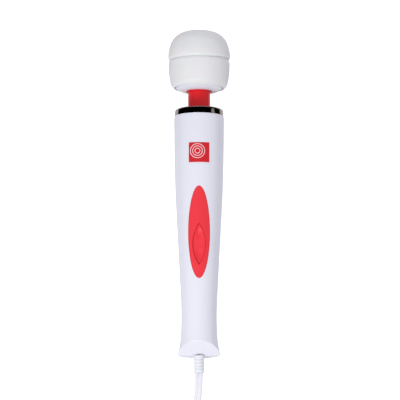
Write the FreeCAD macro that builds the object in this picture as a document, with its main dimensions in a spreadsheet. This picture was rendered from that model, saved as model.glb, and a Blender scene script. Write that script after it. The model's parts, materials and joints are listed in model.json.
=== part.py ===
import FreeCAD, Part
import Sketcher
import math
import os

# Handheld wand massager. Millimetres. Every piece is drawn upright, tail at height 0 and head up,
# with the switch side facing -Y, and is then laid on its back by one shared placement.

Vector, Rotation, Placement = FreeCAD.Vector, FreeCAD.Rotation, FreeCAD.Placement

sizes = {
    # handle outline, from the tail to the shoulder under the collar
    "wall": 2.2, "tailRadius": 20.7, "rimRound": 1.2, "tailFloor": 2.6,
    "flareRadius": 17.64, "flareHeight": 19.8, "flareArc": 88.8,
    "waistRadius": 17.12, "waistHeight": 38, "waistArc": 318,
    "gripRadius": 17.62, "gripHeight": 57, "gripArc": 365,
    "chestRadius": 22.45, "chestHeight": 148,
    "motorZoneRadius": 23.2, "motorZoneHeight": 166, "chestArc": 783,
    "shoulderRadius": 24.28, "shoulderHeight": 231, "shoulderArc": 2407,
    "shellTopRadius": 23.95, "shellTop": 234.2, "shellTopArc": 12,
    "facetAngle": 34.4, "facetFloor": 3.15, "slantRound": 0.7, "seamGap": 0.05,
    # shell screws and bosses
    "screwRadius": 1.4, "pilotRadius": 1.45, "screwHeadRadius": 2.8, "screwHeadThick": 2,
    "screwSeat": 5, "screwReach": 8.5, "frontBossRadius": 3.4, "rearBossRadius": 4.3,
    "counterboreRadius": 3.1, "clearanceRadius": 1.7,
    "tailScrewX": 10.5, "tailScrewHeight": 32, "chestScrewX": 15, "chestScrewHeight": 140,
    "topScrewX": 15, "topScrewHeight": 221.8,
    # collar
    "ringRadius": 23.85, "ringTopRadius": 23.55, "ringWall": 1.6, "ringTop": 241.2, "ringRound": 2.4,
    "ringHole": 10.9, "collarRadius": 21.9, "collarLow": 227, "collarDeck": 235.4, "collarTop": 237,
    # switch panel, rocker and switch
    "panelHeight": 117.9, "panelLong": 44.7, "panelWide": 10.4, "panelGap": 0.15, "panelProud": 0.25,
    "flangeLong": 47, "flangeWide": 13, "flangeThick": 1.5,
    "rockerHeight": 106.2, "rockerLensRadius": 35.6, "openingLong": 20.2, "openingWide": 6.3,
    "rockerLong": 19.45, "rockerWide": 6, "rockerSunk": 0.9, "rockerThick": 4.2,
    "dimpleRadius": 16, "dimpleDepth": 0.9, "dimpleSpread": 10.4,
    "pivotDepth": 13.6, "trunnionRadius": 1.5, "trunnionHole": 1.56, "trunnionReach": 8.2,
    "earInner": 6.5, "earOuter": 8.6, "earHalf": 2.9, "stemHalf": 1, "stemWide": 1.6, "stemTip": 3.4,
    "sliderHalfLong": 5, "sliderHalfWide": 3, "sliderFront": 6.2, "sliderBack": 2.5, "forkHalf": 1.35,
    "sliderPlay": 0.2, "sliderRun": 1.6, "switchHalfLong": 14, "switchHalfWide": 7, "switchFront": 6.6,
    # badge and rating plate
    "badgeHeight": 195.2, "badgeHalfWide": 9.9, "badgeHalfLong": 9.6, "badgeThick": 0.4,
    "plateHeight": 78, "plateHalfWide": 12, "plateHalfLong": 17, "plateThick": 0.25, "skinGap": 0.02,
    # motor
    "canRadius": 18, "canWall": 1.4, "canLow": 152, "canTop": 210, "bossRadius": 6.8, "bossTop": 213.2,
    "bearingRadius": 5.5, "shaftRadius": 1.6, "shaftHole": 1.65, "shaftLow": 146, "shaftTop": 229,
    "bellLow": 148.5, "bellPlug": 155, "magnetInner": 13.7, "magnetOuter": 16.5,
    "magnetLow": 160, "magnetTop": 202, "magnetArc": 130,
    "coreRadius": 13.1, "coreLow": 165, "coreTop": 197, "slotHalf": 1.5, "slotFloor": 5.5,
    "slotCentre": 8.4, "slotRadius": 2.6, "terminalX": 9,
    "windingRadius": 11.2, "windingLow": 161, "windingTop": 201,
    "commutatorRadius": 5, "commutatorLow": 154.6, "commutatorTop": 160.4,
    "mountRadius": 20.3, "mountGrip": 18.05, "rearMountLow": 167, "frontMountLow": 202, "mountThick": 6,
    "ribThick": 1.6, "ribInner": 18.7,
    # control board behind the switch
    "boardHalfWide": 10.5, "boardLow": 62, "boardTop": 133, "boardFront": 1, "boardBack": 2.6,
    # cord entry
    "reliefHole": 6.3, "reliefRadius": 6.15, "reliefStep": 3.2, "reliefNeck": 5.2, "reliefEndRadius": 4.85,
    "reliefTip": 16.5, "reliefFlange": 8, "reliefFlangeLow": 9.2, "reliefFlangeTop": 11.6,
    "grooveDepth": 1, "grooveWide": 1.3, "groovePitch": 3.45, "firstGroove": 4.3,
    "cordHalfWide": 3.7, "cordHalfThick": 1.85, "cordInnerTop": 26, "boreGap": 0.15,
    "clampLow": 14, "clampTop": 21, "clampHalfWide": 9.6, "clampScrewX": 7, "clampScrewHeight": 17.5,
    # neck
    "neckRadius": 10.4, "neckWall": 2.2, "neckFlange": 14, "neckFoot": 237.05, "neckFootTop": 239.5,
    "neckHead": 260.3, "neckHeadTop": 262.4, "springOuter": 5.2, "springInner": 3.45, "springWire": 1.75,
    "springLow": 229.2,
    # coupling hubs
    "hubRadius": 6, "hubNose": 3.3, "lowerHubLow": 217, "lowerHubTop": 229, "lowerNoseTop": 238,
    "upperNoseLow": 252, "upperHubLow": 261.2, "upperHubTop": 265,
    # head
    "baseHole": 13.2, "baseLow": 258, "baseFloor": 260.2, "baseTop": 262.5, "baseEdge": 19.4,
    "baseRadius": 20.3,
    "baseRecess": 15.6, "baseRound": 0.8, "coreFloorTop": 265, "headCoreRadius": 26, "headCoreFoot": 23.6,
    "headCoreWall": 2, "headCoreCorner": 4.5, "headSplit": 290, "headCoreTop": 313,
    "headCapArc": 13, "bearingOuter": 9.5, "bearingBore": 3.02, "headShaftRadius": 2.98,
    "bearingThick": 6, "lowerBearingLow": 266.4, "upperBearingLow": 300, "headShaftLow": 258,
    "headShaftTop": 307, "housingRadius": 11.5, "weightRadius": 16.6, "weightHub": 6.5,
    "weightLow": 277, "weightTop": 296, "headScrewX": 20.4, "baseScrewPull": 0.88, "headBossRadius": 2.9,
    "coverFoot": 260.4, "coverFootInner": 20.6, "coverFootOuter": 22.4,
    "coverHipRadius": 28, "coverHipHeight": 268, "coverHipArc": 9.2,
    "lobeRadius": 29.85, "lobeHeight": 283.4, "lobeArc": 75, "lipRound": 3.2,
    "grooveRadius": 28.6, "grooveHeight": 289.6, "lobeEdge": 287.6,
    "landRadius": 30.15, "landLow": 291.8, "landTop": 295.8, "cheekRadius": 28.4, "cheekHeight": 304.2,
    "cheekArc": 34, "domeArc": 18.5, "domeFlatRadius": 10.4, "domeTop": 318.4,
    "coverInnerGap": 0.1,
    # supply cord, coil, tie and plug
    "cordRadius": 2.6, "coilRadius": 25, "coilStraight": 39, "coilHalfWide": 10.4, "coilTall": 15.8,
    "coilRound": 2, "coilX": 13, "coilAway": 94.5, "tieWide": 8, "tieThick": 1.2,
    "plugWide": 24, "plugTall": 17, "plugLong": 26, "plugTail": 14, "plugRound": 3, "plugTurn": 3,
    "plugTailRadius": 5.2, "bladeWide": 6.3, "bladeThick": 1.5, "bladeLong": 17, "bladePitch": 12.7,
}

doc = FreeCAD.newDocument("WandMassager")
sheet = doc.addObject("Spreadsheet::Sheet", "Sizes")
for row, (name, number) in enumerate(sizes.items(), 1):
    sheet.set(f"A{row}", name)
    sheet.set(f"B{row}", str(number))
    sheet.setAlias(f"B{row}", name)
doc.recompute()

nodes = {}


# A size is written as a sum of terms, such as "shellTop - wall" or "neckRadius - 0.5*neckWall".
def value(text):
    total, sign = 0.0, 1
    for word in str(text).split():
        if word in ("+", "-"):
            sign = 1 if word == "+" else -1
            continue
        term = 1.0
        for factor in word.split("*"):
            term *= sizes[factor] if factor in sizes else float(factor)
        total += sign * term
        sign = 1
    return total


def bound(text):
    words = []
    for word in str(text).split():
        factors = [f"Sizes.{f}" if f in sizes else f for f in word.split("*")]
        words.append(" * ".join(factors))
    return " ".join(words)


def part(kind, name, **properties):
    piece = doc.addObject(kind, name)
    for key, text in properties.items():
        setattr(piece, key, value(text))
        piece.setExpression(key, bound(text))
    return piece


def moveTo(piece, x, y, z, turn=Rotation()):
    piece.Placement = Placement(Vector(value(x), value(y), value(z)), turn)
    for axis, text in zip("xyz", (x, y, z)):
        piece.setExpression(f"Placement.Base.{axis}", bound(text))
    return piece


def block(name, x, y, z):
    piece = part("Part::Box", name)
    for key, (low, high) in zip(("Length", "Width", "Height"), (x, y, z)):
        setattr(piece, key, value(high) - value(low))
        piece.setExpression(key, f"({bound(high)}) - ({bound(low)})")
    return moveTo(piece, x[0], y[0], z[0])


alongX = Rotation(Vector(0, 1, 0), 90)
alongY = Rotation(Vector(1, 0, 0), -90)
alongZ = Rotation()


# A round bar from low to high along one axis; the other two coordinates place its centre line.
def bar(name, radius, turn, low, high, a, b):
    piece = part("Part::Cylinder", name, Radius=radius)
    piece.Height = value(high) - value(low)
    piece.setExpression("Height", f"({bound(high)}) - ({bound(low)})")
    corner = {"x": (low, a, b), "y": (a, low, b), "z": (a, b, low)}
    axis = "x" if turn is alongX else "y" if turn is alongY else "z"
    return moveTo(piece, *corner[axis], turn)


def fuse(name, pieces):
    whole = doc.addObject("Part::MultiFuse", name)
    whole.Shapes = pieces
    return whole


def common(name, pieces):
    whole = doc.addObject("Part::MultiCommon", name)
    whole.Shapes = pieces
    return whole


def cut(name, base, tools):
    whole = doc.addObject("Part::Cut", name)
    whole.Base = base
    whole.Tool = tools[0] if len(tools) == 1 else fuse(name + "Tools", tools)
    return whole


def group(name, pieces):
    whole = doc.addObject("Part::Compound", name)
    whole.Links = pieces
    return whole


def node(label, piece):
    piece.Label = label
    nodes[label] = piece
    return piece


# Draws a closed outline of (radius, height) corners. A corner with two more items is reached by an
# arc of that radius, which turns left (+1) or right (-1).
def drawOutline(sketch, corners):
    count = len(corners)
    points = [Vector(value(c[0]), value(c[1]), 0) for c in corners]
    for index, corner in enumerate(corners):
        start, end = points[index - 1], points[index]
        if len(corner) == 2:
            sketch.addGeometry(Part.LineSegment(start, end))
            continue
        radius, side = value(corner[2]), corner[3]
        chord = end - start
        normal = Vector(-chord.y, chord.x, 0) / chord.Length
        rise = math.sqrt(max(radius ** 2 - chord.Length ** 2 / 4, 0))
        centre = (start + end) / 2 + normal * rise * side
        first, last = (start, end) if side > 0 else (end, start)
        angles = [math.atan2(p.y - centre.y, p.x - centre.x) for p in (first, last)]
        circle = Part.Circle(centre, Vector(0, 0, 1), radius)
        sketch.addGeometry(Part.ArcOfCircle(circle, *angles))

    def startOf(index):
        corner = corners[index % count]
        return 2 if len(corner) > 2 and corner[3] < 0 else 1

    def endOf(index):
        return 3 - startOf(index)

    for index, corner in enumerate(corners):
        following = (index + 1) % count
        sketch.addConstraint(
            Sketcher.Constraint("Coincident", index, endOf(index), following, startOf(following)))
        for kind, text, axis in (("DistanceX", corner[0], -2), ("DistanceY", corner[1], -1)):
            if abs(value(text)) < 1e-9:
                sketch.addConstraint(Sketcher.Constraint("PointOnObject", index, endOf(index), axis))
                continue
            rule = sketch.addConstraint(
                Sketcher.Constraint(kind, -1, 1, index, endOf(index), value(text)))
            sketch.setExpression(f"Constraints[{rule}]", bound(text))
        if len(corner) > 2:
            rule = sketch.addConstraint(Sketcher.Constraint("Radius", index, value(corner[2])))
            sketch.setExpression(f"Constraints[{rule}]", bound(corner[2]))


def bodyPlane(body, role):
    return [feature for feature in body.Origin.OriginFeatures if feature.Role == role][0]


def sketchOn(body, role, name, corners):
    sketch = body.newObject("Sketcher::SketchObject", name)
    sketch.AttachmentSupport = [(bodyPlane(body, role), "")]
    sketch.MapMode = "FlatFace"
    drawOutline(sketch, corners)
    return sketch


# A turned piece: an outline of (radius, height) corners spun about the upright axis.
def turned(name, corners):
    body = doc.addObject("PartDesign::Body", name)
    sketch = sketchOn(body, "XZ_Plane", name + "Outline", corners)
    spin = body.newObject("PartDesign::Revolution", name + "Spin")
    spin.Profile = sketch
    spin.ReferenceAxis = (sketch, ["V_Axis"])
    spin.Angle = 360
    body.Tip = spin
    sketch.Visibility = False
    return body


def ringOf(name, inner, outer, low, high):
    return turned(name, [(inner, low), (outer, low), (outer, high), (inner, high)])


# The handle's side from the rim to the shoulder, offset outwards by a size (negative inwards).
def handleSide(offset):
    stations = [
        ("flareRadius", "flareHeight", "flareArc", -1), ("waistRadius", "waistHeight", "waistArc", -1),
        ("gripRadius", "gripHeight", "gripArc", -1), ("chestRadius", "chestHeight"),
        ("motorZoneRadius", "motorZoneHeight", "chestArc", 1),
        ("shoulderRadius", "shoulderHeight", "shoulderArc", 1),
    ]
    return [(f"{station[0]} {offset}", *station[1:]) for station in stations]


# ---- handle shells ----
envelope = turned("envelope", [
    ("0", "0"), ("tailRadius - rimRound", "0"), ("tailRadius", "rimRound", "rimRound", 1),
    *handleSide("+ 0"), ("shellTopRadius", "shellTop", "shellTopArc", 1), ("0", "shellTop")])
hollow = turned("hollow", [
    ("0", "tailFloor"), ("tailRadius - wall - 0.6", "tailFloor"), *handleSide("- wall"),
    ("shoulderRadius - wall", "shellTop + wall"), ("0", "shellTop + wall")])


# The tail's front half is cut by a slanting flat. The box's top face is that flat.
def slantBox(name, height):
    reach = 60
    box = part("Part::Box", name, Length=2 * reach, Width=reach, Height=reach)
    turn = Rotation(Vector(1, 0, 0), -sizes["facetAngle"])
    corner = turn.multVec(Vector(-reach, -reach, -reach)) + Vector(0, 0, value(height))
    box.Placement = Placement(corner, turn)
    return box


# The slanted tail face meets the side with a small rounded edge.
sharpOuter = cut("sharpOuter", envelope, [slantBox("slantOutside", "0")])
doc.recompute()
slantFace = next(face for face in sharpOuter.Shape.Faces
                 if isinstance(face.Surface, Part.Plane) and abs(face.Surface.Axis.y) > 0.1)
outer = doc.addObject("Part::Fillet", "outer")
outer.Base = sharpOuter
outer.Edges = [(number, sizes["slantRound"], sizes["slantRound"])
               for number, edge in enumerate(sharpOuter.Shape.Edges, 1)
               if any(edge.isSame(rim) for rim in slantFace.Edges)]
cavity = cut("cavity", hollow, [slantBox("slantInside", "facetFloor")])
handleWall = cut("handleWall", outer, [cavity])
frontHalf = block("frontHalf", ("-30", "30"), ("-30", "0 - seamGap"), ("-1", "240"))
rearHalf = block("rearHalf", ("-30", "30"), ("seamGap", "30"), ("-1", "240"))

screwSpots = [(f"{side}*{row}ScrewX", f"{row}ScrewHeight")
              for row in ("tail", "chest", "top") for side in ("-1", "1")]


def barsAtScrews(name, radius, low, high):
    return [bar(f"{name}{number}", radius, alongY, low, high, x, z)
            for number, (x, z) in enumerate(screwSpots)]


ribHeights = ["rearMountLow - ribThick", "rearMountLow + mountThick",
              "frontMountLow - ribThick", "frontMountLow + mountThick"]
motorRibs = [ringOf(f"motorRib{number}", "ribInner", "shoulderRadius", low, f"{low} + ribThick")
             for number, low in enumerate(ribHeights)]
tailHole = bar("tailHole", "reliefHole", alongZ, "-5", "12", "0", "0")

# The panel's oval hole and the oval prisms that shape the panel itself.
def oval(name, long, wide, low, high):
    ellipse = part("Part::Ellipse", name + "Curve", MajorRadius=long, MinorRadius=wide)
    upright = Rotation(Vector(0, 0, 1), Vector(-1, 0, 0), Vector(0, -1, 0), "XZY")
    moveTo(ellipse, "0", low, "panelHeight", upright)
    prism = doc.addObject("Part::Extrusion", name)
    prism.Base = ellipse
    prism.DirMode = "Custom"
    prism.Dir = Vector(0, 1, 0)
    prism.LengthFwd = value(high) - value(low)
    prism.setExpression("LengthFwd", f"({bound(high)}) - ({bound(low)})")
    prism.Solid = True
    return prism


panelHole = oval("panelHole", "panelLong + panelGap", "panelWide + panelGap", "-30", "-5")

frontAdded = common("frontAdded", [
    fuse("frontPosts", [*barsAtScrews("frontBoss", "frontBossRadius", "-25", "0"), *motorRibs]), outer])
frontSolid = common("frontSolid", [fuse("frontAll", [handleWall, frontAdded]), frontHalf])
node("front_shell", cut("front_shell", frontSolid, [
    panelHole, tailHole, *barsAtScrews("pilot", "pilotRadius", "0 - screwReach - 0.5", "1")]))

boardPosts = [bar(f"boardPost{number}", "3", alongY, "boardBack + 0.05", "24", "0", height)
              for number, height in enumerate(("boardLow + 4", "boardTop - 4"))]
clampPosts = [bar(f"clampPost{number}", "2.4", alongY, "-2", "20", f"{side}*clampScrewX", "clampScrewHeight")
              for number, side in enumerate((-1, 1))]
cordShelf = block("cordShelf", ("-4.5", "4.5"), ("cordHalfThick + 0.2", "20"), ("15", "20"))
rearAdded = common("rearAdded", [
    fuse("rearPosts", [*barsAtScrews("rearBoss", "rearBossRadius", "0", "25"), *motorRibs,
                       *boardPosts, cordShelf]), outer])
rearSolid = common("rearSolid", [fuse("rearAll", [handleWall, rearAdded]), rearHalf])
rearClamp = common("rearClamp", [fuse("clampPosts", clampPosts), outer])
rearDrills = [*barsAtScrews("clearance", "clearanceRadius", "-1", "screwSeat + 1"),
              *barsAtScrews("counterbore", "counterboreRadius", "screwSeat", "30"),
              *[bar(f"clampPilot{n}", "1.05", alongY, "-3", "7", f"{side}*clampScrewX", "clampScrewHeight")
                for n, side in enumerate((-1, 1))],
              *[bar(f"boardPilot{n}", "1.05", alongY, "0", "9", "0", height)
                for n, height in enumerate(("boardLow + 4", "boardTop - 4"))]]
node("rear_shell", cut("rear_shell", fuse("rearWhole", [rearSolid, rearClamp]), [tailHole, *rearDrills]))


def screwSet(label, spots, head, headThick, shank, seat, reach, side):
    screws = []
    for number, (x, z) in enumerate(spots):
        if side > 0:
            headLow, headHigh, low, high = seat, f"{seat} + {headThick}", reach, seat
        else:
            headLow, headHigh, low, high = f"{seat} - {headThick}", seat, seat, reach
        cap = bar(f"{label}Head{number}", head, alongY, headLow, headHigh, x, z)
        stem = bar(f"{label}Stem{number}", shank, alongY, low, high, x, z)
        slotHalf, slotDeep = "0.45", "0.9"
        face = (f"{headHigh} - {slotDeep}", f"{headHigh} + 1") if side > 0 else \
            (f"{headLow} - 1", f"{headLow} + {slotDeep}")
        slots = [block(f"{label}SlotA{number}", (f"{x} - 1.6", f"{x} + 1.6"), face,
                       (f"{z} - {slotHalf}", f"{z} + {slotHalf}")),
                 block(f"{label}SlotB{number}", (f"{x} - {slotHalf}", f"{x} + {slotHalf}"), face,
                       (f"{z} - 1.6", f"{z} + 1.6"))]
        screws.append(cut(f"{label}{number}", fuse(f"{label}Blank{number}", [cap, stem]), slots))
    node(label, group(label, screws))


screwSet("shell_screws", screwSpots, "screwHeadRadius", "screwHeadThick", "screwRadius",
         "screwSeat + 0.02", "0 - screwReach", 1)

# ---- collar ----
node("collar_ring", turned("collar_ring", [
    ("ringRadius - ringWall", "shellTop"), ("ringRadius", "shellTop"),
    ("ringTopRadius", "ringTop - ringRound"), ("ringTopRadius - ringRound", "ringTop", "ringRound", 1),
    ("ringHole", "ringTop"), ("ringHole", "ringTop - ringWall"),
    ("ringRadius - ringWall", "ringTop - ringWall")]))
node("collar_plate", turned("collar_plate", [
    ("collarRadius - 1.6", "collarLow"), ("collarRadius", "collarLow"), ("collarRadius", "collarTop"),
    ("neckRadius - neckWall", "collarTop"), ("neckRadius - neckWall", "collarDeck"),
    ("collarRadius - 1.6", "collarDeck")]))


# ---- red panel, rocker and switch ----
# A skin is a layer of the handle's side between two offsets, as long as the panel's region.
def skin(name, outerOffset, innerOffset):
    outside = handleSide(outerOffset)[1:]
    inside = handleSide(innerOffset)[1:]
    back = [(inside[-1][0], inside[-1][1])]
    for number in range(len(inside) - 1, 0, -1):
        corner = (inside[number - 1][0], inside[number - 1][1])
        arc = inside[number][2:]
        back.append((*corner, arc[0], -arc[1]) if arc else corner)
    return turned(name, [outside[0][:2], *outside[1:], *back])


def lens(name, long, wide, low, high):
    # two equal discs, far enough apart to leave a lens of this length and width
    radius = (value(long) ** 2 + value(wide) ** 2) / (2 * value(wide))
    discs = []
    for side in (-1, 1):
        disc = bar(f"{name}Disc{side + 1}", "1", alongY, low, high, "0", "rockerHeight")
        disc.setExpression("Radius", f"(({bound(long)})^2 + ({bound(wide)})^2) / (2 * ({bound(wide)}))")
        disc.setExpression("Placement.Base.x", f"{side} * ((({bound(long)})^2 + ({bound(wide)})^2) "
                                               f"/ (2 * ({bound(wide)})) - ({bound(wide)}))")
        disc.Radius = radius
        discs.append(disc)
    return common(name, discs)


panelFace = common("panelFace", [
    skin("faceSkin", "+ panelProud", "- wall - 0.1"),
    oval("faceOval", "panelLong", "panelWide", "-30", "-5")])
panelFlange = common("panelFlange", [
    skin("flangeSkin", "- wall - 0.1", "- wall - flangeThick - 0.1"),
    oval("flangeOval", "flangeLong", "flangeWide", "-30", "-5")])
ears = [block(f"ear{number}", (f"{low}", f"{high}"), ("0 - pivotDepth - 2.4", "0 - pivotDepth + 2.3"),
              ("rockerHeight - earHalf", "rockerHeight + earHalf"))
        for number, (low, high) in enumerate((("0 - earOuter", "0 - earInner"), ("earInner", "earOuter")))]
pivotHole = bar("pivotHole", "trunnionHole", alongX, "-12", "12", "0 - pivotDepth", "rockerHeight")
node("switch_panel", cut("switch_panel", fuse("panelWhole", [panelFace, panelFlange, *ears]), [
    lens("rockerOpening", "openingLong", "openingWide", "-30", "-5"), pivotHole]))

rockerCap = common("rockerCap", [
    skin("rockerSkin", "- rockerSunk", "- rockerSunk - rockerThick"),
    lens("rockerLens", "rockerLong", "rockerWide", "-30", "-5")])
dimples = []
for number, side in enumerate(("-1", "1")):
    ball = part("Part::Sphere", f"dimple{number}", Radius="dimpleRadius")
    slope = value("chestRadius - gripRadius") / value("chestHeight - gripHeight")
    surface = value("chestRadius - rockerSunk") - value("chestHeight - rockerHeight") * slope
    moveTo(ball, "0", str(round(-surface - sizes["dimpleRadius"] + sizes["dimpleDepth"], 3)),
           f"rockerHeight + {side}*dimpleSpread")
    dimples.append(ball)
trunnion = bar("trunnion", "trunnionRadius", alongX, "0 - trunnionReach", "trunnionReach",
               "0 - pivotDepth", "rockerHeight")
rockerWeb = block("rockerWeb", ("-2.6", "2.6"), ("0 - pivotDepth - 2.5", "0 - pivotDepth + 1.8"),
                  ("rockerHeight - 2.4", "rockerHeight + 2.4"))
rockerStem = block("rockerStem", ("0 - stemWide", "stemWide"), ("0 - pivotDepth", "0 - stemTip"),
                   ("rockerHeight - stemHalf", "rockerHeight + stemHalf"))
node("switch_rocker", cut("switch_rocker", fuse("rockerWhole", [
    rockerCap, trunnion, rockerWeb, rockerStem]), dimples))

slider = block("sliderBlock", ("0 - sliderHalfWide", "sliderHalfWide"), ("0 - sliderFront", "0 - sliderBack"),
               ("rockerHeight - sliderHalfLong", "rockerHeight + sliderHalfLong"))
fork = block("sliderFork", ("-2.1", "2.1"), ("-10", "-3.1"),
             ("rockerHeight - forkHalf", "rockerHeight + forkHalf"))
node("switch_slider", cut("switch_slider", slider, [fork]))
housing = block("housing", ("0 - switchHalfWide", "switchHalfWide"), ("0 - switchFront", "boardFront - 0.1"),
                ("rockerHeight - switchHalfLong", "rockerHeight + switchHalfLong"))
track = block("track", ("0 - sliderHalfWide - sliderPlay", "sliderHalfWide + sliderPlay"),
              ("-10", "0 - sliderBack + 0.2"),
              ("rockerHeight - sliderHalfLong - sliderRun", "rockerHeight + sliderHalfLong + sliderRun"))
node("switch_housing", cut("switch_housing", housing, [track]))

# ---- badge and rating plate ----
node("badge_plate", common("badge_plate", [
    skin("badgeSkin", "+ badgeThick", "+ skinGap"),
    block("badgeBox", ("0 - badgeHalfWide", "badgeHalfWide"), ("-30", "-5"),
          ("badgeHeight - badgeHalfLong", "badgeHeight + badgeHalfLong"))]))
node("rating_plate", common("rating_plate", [
    skin("plateSkin", "+ plateThick", "+ skinGap"),
    block("plateBox", ("0 - plateHalfWide", "plateHalfWide"), ("5", "30"),
          ("plateHeight - plateHalfLong", "plateHeight + plateHalfLong"))]))

# ---- motor ----
node("motor_can", turned("motor_can", [
    ("canRadius - canWall", "canLow"), ("canRadius", "canLow"), ("canRadius", "canTop"),
    ("bossRadius", "canTop"), ("bossRadius", "bossTop"), ("bearingRadius + 0.05", "bossTop"),
    ("bearingRadius + 0.05", "canTop - canWall"), ("canRadius - canWall", "canTop - canWall")]))
node("motor_front_bearing", ringOf("motor_front_bearing", "shaftHole", "bearingRadius",
                                   "canTop - canWall", "bossTop"))
node("motor_rear_bearing", ringOf("motor_rear_bearing", "shaftHole", "bearingRadius",
                                  "bellLow + 1", "bellLow + 4"))
bell = turned("bell", [
    ("3", "bellLow"), ("canRadius - 0.5", "bellLow"), ("canRadius - 0.5", "canLow - 0.05"),
    ("canRadius - canWall - 0.1", "canLow - 0.05"), ("canRadius - canWall - 0.1", "bellPlug"),
    ("canRadius - canWall - 2", "bellPlug"), ("canRadius - canWall - 2", "canLow + 0.5"),
    ("bearingRadius + 1.5", "canLow + 0.5"), ("bearingRadius + 0.05", "canLow + 0.5"),
    ("bearingRadius + 0.05", "bellLow + 1"), ("3", "bellLow + 1")])
terminalHoles = [block(f"terminalHole{n}", (f"{x} - 1.1", f"{x} + 1.1"), ("-0.6", "0.6"), ("140", "160"))
                 for n, x in enumerate(("-1*terminalX", "terminalX"))]
node("motor_end_bell", cut("motor_end_bell", bell, terminalHoles))
node("motor_terminals", group("motor_terminals", [
    block(f"terminal{n}", (f"{x} - 1", f"{x} + 1"), ("-0.4", "0.4"), ("143.4", "155.4"))
    for n, x in enumerate(("-1*terminalX", "terminalX"))]))
node("motor_brushes", group("motor_brushes", [
    block(f"brush{n}", x, ("-2", "2"), ("155.5", "159.5"))
    for n, x in enumerate((("-10", "0 - commutatorRadius - 0.1"), ("commutatorRadius + 0.1", "10")))]))


def magnet(name, middle):
    sector = part("Part::Cylinder", name + "Sector", Radius="magnetOuter", Angle="magnetArc")
    sector.Height = value("magnetTop - magnetLow")
    sector.setExpression("Height", bound("magnetTop - magnetLow"))
    moveTo(sector, "0", "0", "magnetLow", Rotation(Vector(0, 0, 1), middle - sizes["magnetArc"] / 2))
    bore = bar(name + "Bore", "magnetInner", alongZ, "magnetLow - 1", "magnetTop + 1", "0", "0")
    return cut(name, sector, [bore])


node("motor_magnets", group("motor_magnets", [magnet("magnetFront", -90), magnet("magnetRear", 90)]))
node("motor_mount_rings", group("motor_mount_rings", [
    ringOf(f"mountRing{n}", "mountGrip", "mountRadius", f"{low} + 0.1", f"{low} + mountThick - 0.1")
    for n, low in enumerate(("rearMountLow", "frontMountLow"))]))

# ---- rotor ----
node("motor_shaft", turned("motor_shaft", [
    ("0", "shaftLow"), ("shaftRadius", "shaftLow"), ("shaftRadius", "shaftTop"), ("0", "shaftTop")]))
node("commutator", ringOf("commutator", "shaftRadius", "commutatorRadius", "commutatorLow", "commutatorTop"))
poleCount = 5
blank = ringOf("coreBlank", "shaftRadius", "coreRadius", "coreLow", "coreTop")
slots = []
for pole in range(poleCount):
    turn = Rotation(Vector(0, 0, 1), 360 / poleCount * pole)
    mouth = part("Part::Box", f"slotMouth{pole}", Length="coreRadius", Width="2*slotHalf", Height="60")
    mouth.Placement = Placement(turn.multVec(Vector(sizes["slotFloor"], -sizes["slotHalf"], 150)), turn)
    hollowSlot = part("Part::Cylinder", f"slotRound{pole}", Radius="slotRadius", Height="60")
    hollowSlot.Placement = Placement(turn.multVec(Vector(sizes["slotCentre"], 0, 150)), turn)
    slots += [mouth, hollowSlot]
node("rotor_core", cut("rotor_core", blank, slots))
windingBlank = ringOf("windingBlank", "shaftRadius + 1", "windingRadius", "windingLow", "windingTop")
windingGap = ringOf("windingGap", "0.5", "coreRadius + 1", "coreLow - 0.05", "coreTop + 0.05")
ends = cut("windingEnds", windingBlank, [windingGap])
fills = []
for pole in range(poleCount):
    angle = math.radians(360 / poleCount * pole)
    fill = part("Part::Cylinder", f"slotFill{pole}", Radius="slotRadius - 0.3")
    fill.Height = value("windingTop - windingLow")
    fill.setExpression("Height", bound("windingTop - windingLow"))
    spot = Vector(math.cos(angle), math.sin(angle), 0) * sizes["slotCentre"]
    fill.Placement = Placement(spot + Vector(0, 0, value("windingLow")), alongZ)
    fills.append(fill)
node("rotor_windings", fuse("rotor_windings", [ends, *fills]))
node("coupling_lower_hub", turned("coupling_lower_hub", [
    ("shaftRadius", "lowerHubLow"), ("hubRadius", "lowerHubLow"), ("hubRadius", "lowerHubTop"),
    ("hubNose", "lowerHubTop"), ("hubNose", "lowerNoseTop"), ("0", "lowerNoseTop"),
    ("0", "shaftTop"), ("shaftRadius", "shaftTop")]))

# ---- neck ----
node("neck_boot", turned("neck_boot", [
    ("neckRadius - neckWall", "neckFoot"), ("neckFlange", "neckFoot"), ("neckFlange", "neckFootTop"),
    ("neckRadius", "neckFootTop"), ("neckRadius", "neckHead"), ("neckFlange", "neckHead"),
    ("neckFlange", "neckHeadTop"), ("neckRadius - neckWall", "neckHeadTop")]))
coilCount = 17
springOutline = [("springInner", "springLow"), ("springOuter - 0.5*springWire", "springLow")]
springOutline += [("springOuter - 0.5*springWire", f"springLow + {turn}*springWire", "0.6*springWire", 1)
                  for turn in range(1, coilCount + 1)]
springOutline += [("springInner", f"springLow + {coilCount}*springWire")]
node("coupling_spring", turned("coupling_spring", springOutline))

# ---- head ----
screwX = sizes["headScrewX"]
headSpots = [(screwX * math.cos(math.radians(a)), screwX * math.sin(math.radians(a)))
             for a in (30, 150, 270)]
baseSpots = [(-sizes["baseScrewPull"] * x, -sizes["baseScrewPull"] * y) for x, y in headSpots]


def barsAt(name, spots, radius, low, high):
    return [bar(f"{name}{n}", radius, alongZ, low, high, str(round(x, 3)), str(round(y, 3)))
            for n, (x, y) in enumerate(spots)]


def headBars(name, radius, low, high):
    return barsAt(name, headSpots, radius, low, high)


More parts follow.
